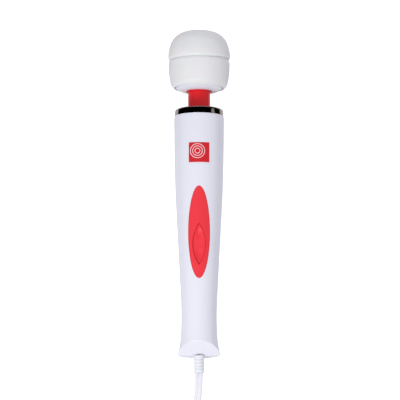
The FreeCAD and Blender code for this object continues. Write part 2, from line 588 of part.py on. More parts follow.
basePlate = turned("basePlate", [
    ("baseHole", "baseLow"), ("baseEdge - baseRound", "baseLow"),
    ("baseEdge", "baseLow + baseRound", "baseRound", 1), ("baseRadius", "baseFloor + 1"),
    ("baseRadius", "baseTop"), ("baseRecess", "baseTop"), ("baseRecess", "baseFloor"),
    ("baseHole", "baseFloor")])
node("head_base_plate", cut("head_base_plate", basePlate,
                            barsAt("baseThread", baseSpots, "1.12", "baseLow + 1.4", "baseTop + 1")))
lowerCup = turned("lowerCup", [
    ("8", "baseTop + 0.02"), ("headCoreFoot - 1", "baseTop + 0.02"),
    ("headCoreRadius", "coreFloorTop + headCoreCorner - 1"), ("headCoreRadius", "headSplit"),
    ("headCoreRadius - headCoreWall", "headSplit"),
    ("headCoreRadius - headCoreWall", "coreFloorTop + headCoreCorner"),
    ("headCoreFoot - headCoreWall", "coreFloorTop"),
    ("housingRadius", "coreFloorTop"), ("housingRadius", "lowerBearingLow + bearingThick"),
    ("bearingOuter + 0.02", "lowerBearingLow + bearingThick"), ("bearingOuter + 0.02", "lowerBearingLow"),
    ("8", "lowerBearingLow")])
node("head_core_lower", cut("head_core_lower", fuse("lowerCore", [
    lowerCup, *headBars("lowerBoss", "headBossRadius", "coreFloorTop - 0.5", "headSplit")]), [
    *headBars("lowerPilot", "1.3", "276", "headSplit + 1"),
    *barsAt("basePilot", baseSpots, "1.2", "250", "coreFloorTop + 1")]))
upperCup = turned("upperCup", [
    ("headCoreRadius - headCoreWall", "headSplit + 0.02"), ("headCoreRadius", "headSplit + 0.02"),
    ("headCoreRadius", "headCoreTop - headCapArc"),
    ("headCoreRadius - headCapArc", "headCoreTop", "headCapArc", 1), ("0", "headCoreTop"),
    ("0", "headCoreTop - headCoreWall"), ("bearingOuter + 0.02", "headCoreTop - headCoreWall"),
    ("bearingOuter + 0.02", "upperBearingLow"), ("housingRadius", "upperBearingLow"),
    ("housingRadius", "headCoreTop - headCoreWall"),
    ("headCoreRadius - headCapArc", "headCoreTop - headCoreWall"),
    ("headCoreRadius - headCoreWall", "headCoreTop - headCapArc", "headCapArc - headCoreWall", -1)])
upperRim = common("upperRim", [
    fuse("upperBosses", headBars("upperBoss", "headBossRadius", "headSplit + 0.02", "headCoreTop")),
    turned("upperSolid", [("0", "headSplit"), ("headCoreRadius - 1", "headSplit"),
                          ("headCoreRadius - 1", "headCoreTop - headCapArc"),
                          ("headCoreRadius - headCapArc", "headCoreTop - 1", "headCapArc - 1", 1),
                          ("0", "headCoreTop - 1")])])
node("head_core_upper", cut("head_core_upper", fuse("upperCore", [upperCup, upperRim]), [
    *headBars("upperClearance", "1.5", "280", "300"), *headBars("upperCounterbore", "2.4", "298", "320")]))


def capScrews(label, spots, capRadius, stemRadius, low, seat, top):
    caps = barsAt(label + "Cap", spots, capRadius, seat, top)
    stems = barsAt(label + "Stem", spots, stemRadius, low, seat)
    node(label, group(label, [fuse(f"{label}{n}", pair) for n, pair in enumerate(zip(caps, stems))]))


capScrews("head_core_screws", headSpots, "2.3", "1.25", "278", "298.02", "300")
capScrews("head_base_screws", baseSpots, "2.2", "1.1", "baseFloor + 0.6", "coreFloorTop + 0.02",
          "coreFloorTop + 1.6")
for label, low in (("head_lower_bearing", "lowerBearingLow"), ("head_upper_bearing", "upperBearingLow")):
    node(label, turned(label, [
        ("bearingBore", low), ("bearingBore + 2", low), ("bearingBore + 2", f"{low} + 0.4"),
        ("bearingOuter - 1.8", f"{low} + 0.4"), ("bearingOuter - 1.8", low), ("bearingOuter", low),
        ("bearingOuter", f"{low} + bearingThick"), ("bearingOuter - 1.8", f"{low} + bearingThick"),
        ("bearingOuter - 1.8", f"{low} + bearingThick - 0.4"),
        ("bearingBore + 2", f"{low} + bearingThick - 0.4"),
        ("bearingBore + 2", f"{low} + bearingThick"), ("bearingBore", f"{low} + bearingThick")]))
node("head_cover", turned("head_cover", [
    ("coverFootInner", "coverFoot"), ("coverFootOuter", "coverFoot"),
    ("coverHipRadius", "coverHipHeight", "coverHipArc", 1), ("lobeRadius", "lobeHeight", "lobeArc", 1),
    ("lobeRadius", "lobeEdge - 2"), ("lobeRadius - 0.7", "lobeEdge + 0.4", "lipRound", 1),
    ("grooveRadius", "grooveHeight"), ("landRadius - 0.6", "landLow - 0.9"),
    ("landRadius", "landLow", "1.2", 1), ("landRadius", "landTop"),
    ("cheekRadius", "cheekHeight", "cheekArc", 1), ("domeFlatRadius", "domeTop", "domeArc", 1),
    ("0", "domeTop"), ("0", "headCoreTop + coverInnerGap"),
    ("headCoreRadius - headCapArc", "headCoreTop + coverInnerGap"),
    ("headCoreRadius + coverInnerGap", "headCoreTop - headCapArc", "headCapArc + coverInnerGap", -1),
    ("headCoreRadius + coverInnerGap", "coreFloorTop + headCoreCorner - 1"),
    ("headCoreFoot - 1 + coverInnerGap", "baseTop + 0.02 - coverInnerGap"),
    ("coverFootInner", "baseTop + 0.02 - coverInnerGap")]))

# ---- eccentric drive in the head; the heavy side hangs to the rear, which faces down when laid ----
node("head_shaft", turned("head_shaft", [
    ("0", "headShaftLow"), ("headShaftRadius", "headShaftLow"), ("headShaftRadius", "headShaftTop"),
    ("0", "headShaftTop")]))
node("coupling_upper_hub", turned("coupling_upper_hub", [
    ("0", "upperNoseLow"), ("hubNose", "upperNoseLow"), ("hubNose", "upperHubLow - 1.4"),
    ("hubRadius", "upperHubLow - 1.4"), ("hubRadius", "upperHubTop"),
    ("headShaftRadius + 0.01", "upperHubTop"),
    ("headShaftRadius + 0.01", "headShaftLow"), ("0", "headShaftLow")]))
weightDisc = ringOf("weightDisc", "headShaftRadius + 0.01", "weightRadius", "weightLow", "weightTop")
weightHub = ringOf("weightHub", "headShaftRadius + 0.01", "weightHub", "weightLow", "weightTop")
weightHalf = block("weightHalf", ("-20", "20"), ("0.5", "20"), ("weightLow", "weightTop"))
weightBody = fuse("weightBody", [common("weightSector", [weightDisc, weightHalf]), weightHub])
screwTap = bar("weightTap", "1.5", alongY, "-8", "0 - headShaftRadius", "0", "0.5*weightLow + 0.5*weightTop")
node("eccentric_weight", cut("eccentric_weight", weightBody, [screwTap]))
node("weight_set_screw", group("weight_set_screw", [
    bar("weightScrew", "1.48", alongY, "-6.2", "0 - headShaftRadius - 0.02", "0",
        "0.5*weightLow + 0.5*weightTop")]))

# ---- control board and its components ----
boardBlank = block("boardBlank", ("0 - boardHalfWide", "boardHalfWide"), ("boardFront", "boardBack"),
                   ("boardLow", "boardTop"))
boardHoles = [bar(f"boardHole{n}", "1.3", alongY, "0", "4", "0", height)
              for n, height in enumerate(("boardLow + 4", "boardTop - 4"))]
node("control_board", cut("control_board", boardBlank, boardHoles))
screwSet("board_screws", [("0", "boardLow + 4"), ("0", "boardTop - 4")], "2.2", "1.5", "1",
         "boardFront - 0.02", "8", -1)
node("film_capacitor", group("film_capacitor", [
    block("capacitorBox", ("-9", "9"), ("boardBack + 0.05", "boardBack + 9"), ("74", "86"))]))
node("rectifier_diodes", group("rectifier_diodes", [
    bar(f"diode{n}", "1.4", alongZ, "91", "96", x, "boardBack + 1.5")
    for n, x in enumerate(("-7.5", "-2.5", "2.5", "7.5"))]))
node("dropper_resistor", group("dropper_resistor", [
    bar("resistorBody", "2.6", alongX, "-8", "8", "boardBack + 2.8", "102")]))
chokeDrum = bar("chokeDrum", "6.5", alongY, "boardBack + 0.05", "boardBack + 9", "0", "113")
node("choke_coil", cut("choke_coil", chokeDrum,
                       [bar("chokeBore", "2", alongY, "boardBack + 2", "boardBack + 12", "0", "113")]))
node("triac", fuse("triac", [
    block("triacBody", ("-9.8", "-4.8"), ("-2.4", "boardFront - 0.05"), ("75", "85")),
    block("triacFin", ("-9.8", "-4.8"), ("-3.6", "-2.4"), ("75", "90"))]))


# ---- flexible round pieces: straight runs joined by tangent arcs ----
def tubeAlong(name, points, radius):
    edges, radii, cursor = [], [], points[0]
    for before, here, after in zip(points, points[1:], points[2:]):
        into, out = here - before, after - here
        shorter = min(into.Length, out.Length)
        halfTurn = into.getAngle(out) / 2
        reach = 0.45 * shorter
        start = here - into / into.Length * reach
        end = here + out / out.Length * reach
        toCentre = (out / out.Length - into / into.Length)
        toCentre = toCentre / toCentre.Length
        bend = reach / math.tan(halfTurn)
        middle = here + toCentre * (bend / math.cos(halfTurn) - bend)
        radii.append(bend)
        edges += [Part.LineSegment(cursor, start).toShape(), Part.Arc(start, middle, end).toShape()]
        cursor = end
    edges.append(Part.LineSegment(cursor, points[-1]).toShape())
    path = Part.Wire(edges)
    heading = points[1] - points[0]
    section = Part.Wire([Part.Circle(points[0], heading, radius).toShape()])
    solid = path.makePipeShell([section], True, False)
    expected = math.pi * radius ** 2 * path.Length
    if not solid.isValid() or abs(solid.Volume / expected - 1) > 0.01:
        raise RuntimeError(f"{name}: the swept tube is wrong")
    print(f"{name}: length {path.Length:.1f}, volume ratio {solid.Volume / expected:.4f}, "
          f"bend radii {[round(r, 1) for r in radii]}")
    return solid


def codedNode(label, shape):
    feature = doc.addObject("Part::Feature", label)
    feature.Shape = shape
    return node(label, feature)


def mirroredLeads(label, points, radius):
    tubes = [tubeAlong(f"{label} {side}", [Vector(side * x, y, z) for x, y, z in points], radius)
             for side in (-1, 1)]
    codedNode(label, Part.makeCompound(tubes))


leadRadius = 1.05
innerTop = sizes["cordInnerTop"]
mirroredLeads("supply_leads", [
    (1.85, 0, innerTop + 0.02), (1.9, 0.1, innerTop + 8), (3.2, -0.6, innerTop + 18),
    (5.4, -0.9, innerTop + 28), (6.6, -0.3, innerTop + 38), (6.8, -0.15, innerTop + 46)], leadRadius)
mirroredLeads("motor_leads", [
    (4.6, -0.2, 123), (4.8, -0.3, 129), (6.4, -0.9, 134.5), (8.6, -0.5, 139), (9, 0, 143.3)], leadRadius)

# ---- cord entry ----
grooves = []
for number in range(4):
    low = f"0 - firstGroove - {number}*groovePitch - grooveWide"
    grooves.append(ringOf(f"reliefGroove{number}", "reliefNeck - grooveDepth", "reliefNeck + 2",
                          low, f"{low} + grooveWide"))
reliefBlank = turned("reliefBlank", [
    ("0", "0 - reliefTip"), ("reliefEndRadius", "0 - reliefTip"), ("reliefNeck", "0 - reliefStep"),
    ("reliefRadius", "0 - reliefStep + 0.8"), ("reliefRadius", "reliefFlangeLow"),
    ("reliefFlange", "reliefFlangeLow"),
    ("reliefFlange", "reliefFlangeTop"), ("0", "reliefFlangeTop")])


def flatTwin(name, gap, low, high):
    # the flat two-core section: a bar on each side and a web between them
    half = f"cordHalfThick + {gap}"
    offset = "cordHalfWide - cordHalfThick"
    return fuse(name, [
        bar(name + "Left", half, alongZ, low, high, "0 - cordHalfWide + cordHalfThick", "0"),
        bar(name + "Right", half, alongZ, low, high, offset, "0"),
        block(name + "Web", ("0 - cordHalfWide + cordHalfThick", offset),
              (f"0 - 0.6*cordHalfThick - {gap}", f"0.6*cordHalfThick + {gap}"), (low, high))])


# where it passes through the slanted tail face it is trimmed flush with that face
reliefTrim = common("reliefTrim", [
    slantBox("slantRelief", "0"), block("overTail", ("-10", "10"), ("-20", "0"), ("0", "20"))])
node("strain_relief", cut("strain_relief", reliefBlank, [
    *grooves, reliefTrim, flatTwin("reliefBore", "boreGap", "0 - reliefTip - 1", "reliefFlangeTop + 1")]))
node("cord_inner_run", flatTwin("cord_inner_run", "0", "0 - reliefTip + 0.05", "cordInnerTop"))
clampBar = block("clampBar", ("0 - clampHalfWide", "clampHalfWide"), ("-4.6", "-2.05"),
                 ("clampLow", "clampTop"))
clampHoles = [bar(f"clampHole{n}", "1.3", alongY, "-9", "0", f"{side}*clampScrewX", "clampScrewHeight")
              for n, side in enumerate((-1, 1))]
node("cord_clamp", cut("cord_clamp", clampBar, clampHoles))
clampSpots = [(f"{side}*clampScrewX", "clampScrewHeight") for side in ("-1", "1")]
screwSet("clamp_screws", clampSpots, "2.2", "1.5", "1", "-4.62", "6", -1)

# ---- laid on its back: the head's land and the tail's rim touch the surface ----
tilt = math.atan2(sizes["landRadius"] - sizes["tailRadius"], sizes["landLow"] - sizes["rimRound"])
lift = sizes["tailRadius"] * math.cos(tilt) - sizes["rimRound"] * math.sin(tilt)
laid = Rotation(Vector(1, 0, 0), math.degrees(tilt) - 90)
span = sizes["domeTop"] * math.cos(tilt) + sizes["reliefTip"] * math.cos(tilt)
tailPlace = -sizes["domeTop"] * math.cos(tilt) + span / 2
ends = sizes["domeFlatRadius"] * math.sin(tilt), sizes["reliefEndRadius"] * math.sin(tilt)
tailPlace -= (ends[0] - ends[1]) / 2
laidPlacement = Placement(Vector(0, tailPlace, lift), laid)
exitPoint = laidPlacement.multVec(Vector(0, 0, -sizes["reliefTip"]))
print("tilt", round(math.degrees(tilt), 4), "tail at", round(tailPlace, 3), "lift", round(lift, 3),
      "exit", [round(c, 3) for c in exitPoint])

# ---- supply cord on the surface, drawn where it lies. The coil is wound as a long ring. The cord comes
# onto its top layer where the left straight side begins and leaves its bottom layer at that side's end ----
coilCentre = Vector(sizes["coilX"], exitPoint.y - sizes["coilAway"], 0)
joinX = value("coilX - coilRadius - coilHalfWide + cordHalfWide")
coilStart = Vector(joinX, coilCentre.y + sizes["coilStraight"] / 2, value("coilTall - cordRadius"))
cordRoute = [
    exitPoint, exitPoint + Vector(-0.4, -17, -0.4), exitPoint + Vector(-2.8, -34, -1.4),
    exitPoint + Vector(-8.6, -50, -3.3), exitPoint + Vector(-15.0, -63, -5.6), coilStart]
codedNode("cord_tube", tubeAlong("cord_tube", cordRoute, sizes["cordRadius"]))
coilEnd = Vector(joinX, coilCentre.y - sizes["coilStraight"] / 2, sizes["cordRadius"])
tailRoute = [
    coilEnd, coilEnd + Vector(-0.2, -14, 0), coilEnd + Vector(-0.8, -25, 2.0),
    coilEnd + Vector(-1.6, -37, 5.2), coilEnd + Vector(-2.2, -46, 6.0)]
codedNode("cord_tail", tubeAlong("cord_tail", tailRoute, sizes["cordRadius"]))



def longRound(name, low, high):
    ends = [part("Part::Cylinder", f"{name}End{side}", Radius=high, Height="coilTall") for side in "AB"]
    moveTo(ends[0], "0", "0.5*coilStraight", "0")
    moveTo(ends[1], "0", "-0.5*coilStraight", "0")
    middle = block(name + "Middle", (low, high), ("-0.5*coilStraight", "0.5*coilStraight"), ("0", "coilTall"))
    whole = fuse(name, ends + [middle])
    whole.Refine = True
    return whole


sharpCoil = cut("sharpCoil",
                longRound("coilOutside", "0 - coilRadius - coilHalfWide", "coilRadius + coilHalfWide"),
                [longRound("coilInside", "coilHalfWide - coilRadius", "coilRadius - coilHalfWide")])
sharpCoil.Refine = True
doc.recompute()
coil = doc.addObject("Part::Fillet", "coilRing")
coil.Base = sharpCoil
coil.Edges = [(number, sizes["coilRound"], sizes["coilRound"])
              for number, edge in enumerate(sharpCoil.Shape.Edges, 1) if edge.BoundBox.ZLength < 0.01]
node("cord_coil", coil)
tieOuter = block(
    "tieOuter", ("coilRadius - coilHalfWide - tieThick", "coilRadius + coilHalfWide + tieThick"),
    ("-0.5*tieWide", "0.5*tieWide"), ("0", "coilTall + tieThick"))
tieInner = block(
    "tieInner", ("coilRadius - coilHalfWide", "coilRadius + coilHalfWide"),
    ("-1*tieWide", "tieWide"), ("-1", "coilTall + 0.02"))
node("cord_tie", cut("cord_tie", tieOuter, [tieInner]))
plugBlock = part("Part::Box", "plugBlock", Length="plugWide", Width="plugLong", Height="plugTall")
moveTo(plugBlock, "-0.5*plugWide", "0 - plugTail - plugLong", "0 - 0.5*plugTall")
plugRounded = doc.addObject("Part::Fillet", "plugRounded")
plugRounded.Base = plugBlock
doc.recompute()
plugRounded.Edges = [(number, sizes["plugRound"], sizes["plugRound"]) for number in range(1, 13)]
plugCone = part("Part::Cone", "plugCone", Radius1="plugTailRadius", Radius2="plugTailRadius + 2",
                Height="plugTail + 1")
moveTo(plugCone, "0", "0", "0", Rotation(Vector(1, 0, 0), 90))
node("plug_body", fuse("plug_body", [plugRounded, plugCone]))
node("plug_blades", group("plug_blades", [
    block(f"blade{n}", (f"{x} - 0.5*bladeThick", f"{x} + 0.5*bladeThick"),
          ("0 - plugTail - plugLong - bladeLong", "0 - plugTail - plugLong - 0.02"),
          ("-0.5*bladeWide", "0.5*bladeWide"))
    for n, x in enumerate(("-0.5*bladePitch", "0.5*bladePitch"))]))

doc.recompute()

coilPlacement = Placement(coilCentre, Rotation())
plugPlacement = Placement(tailRoute[-1], Rotation(Vector(0, 0, 1), sizes["plugTurn"]))
ownPlacement = {"cord_tube": Placement(), "cord_tail": Placement(), "cord_coil": coilPlacement,
                "cord_tie": coilPlacement, "plug_body": plugPlacement, "plug_blades": plugPlacement}
for label, piece in nodes.items():
    piece.Placement = ownPlacement.get(label, laidPlacement)
doc.recompute()

failed = [piece.Label for piece in doc.Objects if "Invalid" in piece.State or "Error" in piece.State]
if failed:
    raise RuntimeError(f"these objects failed: {failed}")
os.makedirs("parts", exist_ok=True)
for label, piece in nodes.items():
    shape = piece.Shape
    if shape.isNull() or not shape.isValid() or not shape.Solids:
        raise RuntimeError(f"{label}: no valid solid")
    shape.exportStep(f"parts/{label}.step")
    print(f"{label}: {len(shape.Solids)} solid(s), {shape.Volume / 1000:.2f} cm3")
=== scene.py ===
import json
import math
import bmesh
import bpy
from mathutils import Matrix, Vector


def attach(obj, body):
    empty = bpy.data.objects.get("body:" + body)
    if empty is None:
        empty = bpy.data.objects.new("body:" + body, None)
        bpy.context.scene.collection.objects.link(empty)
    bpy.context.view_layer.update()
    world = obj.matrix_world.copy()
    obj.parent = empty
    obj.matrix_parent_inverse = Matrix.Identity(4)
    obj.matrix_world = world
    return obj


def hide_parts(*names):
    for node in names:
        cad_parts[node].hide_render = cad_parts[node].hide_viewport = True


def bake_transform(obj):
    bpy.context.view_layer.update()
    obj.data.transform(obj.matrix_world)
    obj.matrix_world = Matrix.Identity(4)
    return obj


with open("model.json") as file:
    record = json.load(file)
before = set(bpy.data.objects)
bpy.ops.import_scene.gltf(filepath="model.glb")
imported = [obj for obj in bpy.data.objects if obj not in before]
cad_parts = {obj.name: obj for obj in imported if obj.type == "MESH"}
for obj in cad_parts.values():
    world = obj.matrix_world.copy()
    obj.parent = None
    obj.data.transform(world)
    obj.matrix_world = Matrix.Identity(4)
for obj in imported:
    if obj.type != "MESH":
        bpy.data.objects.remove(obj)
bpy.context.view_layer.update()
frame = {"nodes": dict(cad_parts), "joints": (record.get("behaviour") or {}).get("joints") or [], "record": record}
nodes = frame["nodes"]
joints = {joint["name"]: joint for joint in frame["joints"]}
mm = 0.001

# Pieces are shaped upright in millimetres, tail at height 0 and switch side towards -Y, as a maker
# would draw them. wandPlace then lays them along the motor's axis, which the frame gives.
alongWand = Vector(joints["motor_spin"]["axis"]).normalized()
toBack = alongWand.cross(Vector((1, 0, 0)))
tailAlong = min(vertex.co.dot(alongWand) for vertex in nodes["rear_shell"].data.vertices)
tailPoint = Vector(joints["motor_spin"]["pos_m"])
tailPoint -= alongWand * (tailPoint.dot(alongWand) - tailAlong)
wandAxes = Matrix((Vector((1, 0, 0)), toBack, alongWand)).transposed()
wandPlace = Matrix.Translation(tailPoint) @ wandAxes.to_4x4()


def onWand(x, y, z):
    return wandPlace @ (Vector((x, y, z)) * mm)


# Camera.
cameraSettings = {"distance": 3.75, "elevation": 78.8, "frameWidth": 0.388,
                  "aimHeight": 152.2, "aimRight": 0.9}

aim = onWand(cameraSettings["aimRight"], 0, cameraSettings["aimHeight"])
rise = math.radians(cameraSettings["elevation"])
cameraData = bpy.data.cameras.new("productCamera")
cameraData.lens = cameraData.sensor_width * cameraSettings["distance"] / cameraSettings["frameWidth"]
camera = bpy.data.objects.new("productCamera", cameraData)
bpy.context.scene.collection.objects.link(camera)
camera.location = aim + cameraSettings["distance"] * Vector((0, -math.cos(rise), math.sin(rise)))
camera.rotation_euler = (math.radians(90) - rise, 0, 0)
bpy.context.scene.camera = camera
bpy.context.scene.view_settings.view_transform = "Standard"
print("camera set")


# Mesh helpers.
def makePiece(name, points, faces, place=wandPlace, sharp=35):
    mesh = bpy.data.meshes.new(name)
    mesh.from_pydata([tuple(Vector(point) * mm) for point in points], [], faces)
    mesh.transform(place)
    tidy = bmesh.new()
    tidy.from_mesh(mesh)
    bmesh.ops.recalc_face_normals(tidy, faces=tidy.faces)
    tidy.to_mesh(mesh)
    tidy.free()
    mesh.shade_smooth()
    mesh.set_sharp_from_angle(angle=math.radians(sharp))
    piece = bpy.data.objects.new(name, mesh)
    bpy.context.scene.collection.objects.link(piece)
    return piece


def settle(piece, body, slot, *replaced):
    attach(piece, body)
    if replaced:
        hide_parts(*replaced)
    return piece


# Corners are (radius, height), or (radius, height, arc, side) when an arc leads there. It turns left (+1)
# or right (-1).
def drawArcs(corners, step=0.6, closed=True):
    points = []
    for index, corner in enumerate(corners):
        end = Vector(corner[:2])
        if len(corner) > 2 and (closed or index):
            start = Vector(corners[index - 1][:2])
            chord = end - start
            half = math.asin(min(chord.length / (2 * corner[2]), 1))
            normal = Vector((-chord.y, chord.x)).normalized() * corner[3]
            centre = (start + end) / 2 + normal * corner[2] * math.cos(half)
            count = max(2, math.ceil(2 * half * corner[2] / step), math.ceil(half / 0.12))
            spoke = start - centre
            for stop in range(1, count):
                turn = Matrix.Rotation(2 * half * stop / count * corner[3], 2)
                points.append(centre + turn @ spoke)
        points.append(end)
    return points


# Rounds every corner sharper than 25 degrees, as a mould does.
def softenCorners(points, radius, steps=4):
    soft = []
    count = len(points)
    for index, here in enumerate(points):
        into, out = here - points[index - 1], points[(index + 1) % count] - here
        turn = into.angle(out) if into.length and out.length else 0
        onAxis = abs(here.x) < 1e-6
        if turn < math.radians(25) or onAxis:
            soft.append(here)
            continue
        reach = min(radius * math.tan(turn / 2), 0.45 * into.length, 0.45 * out.length)
        first, last = here - into.normalized() * reach, here + out.normalized() * reach
        for stop in range(steps + 1):
            t = stop / steps
            soft.append(first * (1 - t) ** 2 + here * 2 * t * (1 - t) + last * t ** 2)
    return soft


def lathe(name, outline, segments=160, place=wandPlace, sharp=35):
    points, rings = [], []
    for spot in outline:
        if abs(spot.x) < 1e-6:
            rings.append([len(points)])
            points.append((0, 0, spot.y))
            continue
        rings.append(list(range(len(points), len(points) + segments)))
        turns = [math.tau * k / segments for k in range(segments)]
        points += [(spot.x * math.cos(turn), spot.x * math.sin(turn), spot.y) for turn in turns]
    faces = []
    for near, far in zip(rings, rings[1:] + rings[:1]):
        for k in range(segments):
            after = (k + 1) % segments
            corners = [near[k % len(near)], near[after % len(near)], far[after % len(far)], far[k % len(far)]]
            unique = list(dict.fromkeys(corners))
            if len(unique) > 2:
                faces.append(unique)
    return makePiece(name, points, faces, place, sharp)


# Joins rows of points, each row the same length, into a skin.
def gridFaces(rows, columns, wrap):
    faces = []
    for row in range(rows - 1):
        for column in range(columns if wrap else columns - 1):
            after = (column + 1) % columns
            faces.append((row * columns + column, row * columns + after,
                          (row + 1) * columns + after, (row + 1) * columns + column))
    return faces


# The handle's side, for what sits on it.
handleCorners = [
    (20.7, 1.2), (17.64, 19.8, 88.8, -1), (17.12, 38, 318, -1), (17.62, 57, 365, -1), (22.45, 148),
    (23.2, 166, 783, 1), (24.28, 231, 2407, 1)]
handleLine = drawArcs(handleCorners, closed=False)


def handleRadius(height):
    for low, high in zip(handleLine, handleLine[1:]):
        if low.y <= height <= high.y:
            return low.x + (high.x - low.x) * (height - low.y) / (high.y - low.y)
    return handleLine[0].x if height < handleLine[0].y else handleLine[-1].x


def onHandle(x, height, proud, side=-1):
    radius = handleRadius(height) + proud
    return (x, side * math.sqrt(max(radius ** 2 - x ** 2, 0)), height)


# Materials.
def toLinear(colour):
    channels = [int(colour[place:place + 2], 16) / 255 for place in (1, 3, 5)]
    return (*[c / 12.92 if c <= 0.04045 else ((c + 0.055) / 1.055) ** 2.4 for c in channels], 1)


def add(tree, kind, settings=None, links=None):
    node = tree.nodes.new("ShaderNode" + kind)
    for key, setting in (settings or {}).items():
        if isinstance(key, int) or key in node.inputs:
            node.inputs[key].default_value = setting
        else:
            setattr(node, key, setting)
    for key, source in (links or {}).items():
        tree.links.new(source, node.inputs[key])
    return node


# Starts a material: its even values go straight on the shader, and its colour drifts between two
# near shades. Returns the material with the sockets that a finish builds on.
def startFinish(name, look):
    finish = bpy.data.materials.new(name)
    finish.use_nodes = True
    tree = finish.node_tree
    shader = tree.nodes["Principled BSDF"]
    for key, setting in look.get("shader", {}).items():
        shader.inputs[key].default_value = setting
    spot = add(tree, "TexCoord").outputs["Object"]
    drift = add(tree, "TexNoise", {"Scale": 1 / (look["driftSize"] * mm), "Detail": 3.0}, {"Vector": spot})
    blend = add(tree, "Mix", {"data_type": "RGBA", 6: toLinear(look["colour"]), 7: toLinear(look["shade"])},
                {0: drift.outputs["Fac"]})
    tree.links.new(blend.outputs[2], shader.inputs["Base Color"])
    rough = add(tree, "MapRange", {"To Min": look["rough"][0], "To Max": look["rough"][1]},
                {"Value": drift.outputs["Fac"]})
    tree.links.new(rough.outputs["Result"], shader.inputs["Roughness"])
    return finish, tree, shader, spot, blend


# Moulded and cast surfaces: a fine grain over a slow ripple, both sized in millimetres.
def addGrain(tree, shader, spot, grain, depth, ripple, rippleDepth):
    fine = add(tree, "TexNoise", {"Scale": 1 / (grain * mm), "Detail": 4.0, "Roughness": 0.6},
               {"Vector": spot})
    slow = add(tree, "TexNoise", {"Scale": 1 / (ripple * mm), "Detail": 1.0}, {"Vector": spot})
    wave = add(tree, "Bump", {"Strength": 0.5, "Distance": rippleDepth * mm}, {"Height": slow.outputs["Fac"]})
    bump = add(tree, "Bump", {"Strength": 0.6, "Distance": depth * mm},
               {"Height": fine.outputs["Fac"], "Normal": wave.outputs["Normal"]})
    tree.links.new(bump.outputs["Normal"], shader.inputs["Normal"])


def mouldedFinish(name, look):
    finish, tree, shader, spot, _ = startFinish(name, look)
    addGrain(tree, shader, spot, *look["grain"])
    return finish


finishes = {}

# injection-moulded ABS, polished tool: hard cool white whose gloss wavers a little over the flow ripple
finishes["white_abs"] = mouldedFinish("polishedWhiteAbs", {
    "colour": "#E9E9F1", "shade": "#E4E4ED", "driftSize": 40, "rough": (0.26, 0.34),
    "grain": (0.35, 0.003, 14, 0.02), "shader": {"IOR": 1.54}})
# the same ABS from a fine spark-eroded tool, in coral red: a dense satin that scatters the light
finishes["coral_abs"] = mouldedFinish("satinCoralAbs", {
    "colour": "#F4323D", "shade": "#EF2D39", "driftSize": 18, "rough": (0.36, 0.46),
    "grain": (0.3, 0.012, 9, 0.01), "shader": {"IOR": 1.54}})
# black ABS, matt tool: dark with a broad grey sheen
finishes["black_abs"] = mouldedFinish("blackAbs", {
    "colour": "#17171A", "shade": "#1E1E21", "driftSize": 20, "rough": (0.4, 0.55),
    "grain": (0.4, 0.01, 10, 0.01), "shader": {"IOR": 1.54}})
# grey ABS, matt tool: plain and even, for what is seldom seen
finishes["grey_abs"] = mouldedFinish("greyAbs", {
    "colour": "#A6A7AB", "shade": "#9C9DA2", "driftSize": 20, "rough": (0.4, 0.5),
    "grain": (0.4, 0.01, 10, 0.01), "shader": {"IOR": 1.54}})
# platinum-cure silicone, matt tool: soft white that lets a little light in and has no hard highlight
finishes["white_silicone"] = mouldedFinish("softWhiteSilicone", {
    "colour": "#E9E9E8", "shade": "#E3E3E2", "driftSize": 16, "rough": (0.5, 0.62),
    "grain": (0.5, 0.02, 8, 0.03),
    "shader": {"IOR": 1.43, "Subsurface Weight": 0.25, "Subsurface Scale": 0.004, "Sheen Weight": 0.08}})
# red silicone, semi-polished tool: deep even colour with a soft highlight
finishes["red_silicone"] = mouldedFinish("redSilicone", {
    "colour": "#F41C24", "shade": "#EA1820", "driftSize": 10, "rough": (0.34, 0.44),
    "grain": (0.4, 0.01, 6, 0.02), "shader": {"IOR": 1.43}})
# plasticised PVC, extruded and overmoulded: slightly waxy white
finishes["white_pvc"] = mouldedFinish("flexibleWhitePvc", {
    "colour": "#ECECF1", "shade": "#E6E6EC", "driftSize": 12, "rough": (0.38, 0.48),
    "grain": (0.5, 0.01, 5, 0.02),
    "shader": {"IOR": 1.53, "Subsurface Weight": 0.1, "Subsurface Scale": 0.002}})
# moulded rubber: nearly black and quite dull, with a coarse skin
finishes["grey_rubber"] = mouldedFinish("greyRubber", {
    "colour": "#3A3A3C", "shade": "#303032", "driftSize": 8, "rough": (0.6, 0.8),
    "grain": (0.3, 0.03, 5, 0.03), "shader": {"IOR": 1.52}})
# pressed carbon: black, dull and finely porous
finishes["carbon"] = mouldedFinish("pressedCarbon", {
    "colour": "#222224", "shade": "#2A2A2B", "driftSize": 3, "rough": (0.5, 0.7),
    "grain": (0.15, 0.02, 2, 0.01), "shader": {"IOR": 1.6}})
# sintered ferrite: stony dark grey with a dull glint
finishes["ferrite"] = mouldedFinish("sinteredFerrite", {
    "colour": "#38393D", "shade": "#2E2F33", "driftSize": 5, "rough": (0.55, 0.7),
    "grain": (0.2, 0.03, 3, 0.02), "shader": {"IOR": 1.8}})
# glass epoxy with green lacquer: glossy, with the weave as small shade changes
finishes["circuit_board"] = mouldedFinish("glassEpoxyBoard", {
    "colour": "#1E5B2C", "shade": "#2A6B34", "driftSize": 2, "rough": (0.25, 0.4),
    "grain": (0.4, 0.02, 2, 0.02), "shader": {"IOR": 1.55}})
# cast epoxy dip: shiny warm yellow with a wavy skin
finishes["yellow_epoxy"] = mouldedFinish("castEpoxy", {
    "colour": "#D9A21B", "shade": "#CF9816", "driftSize": 6, "rough": (0.15, 0.25),
    "grain": (0.6, 0.01, 6, 0.05), "shader": {"IOR": 1.56}})
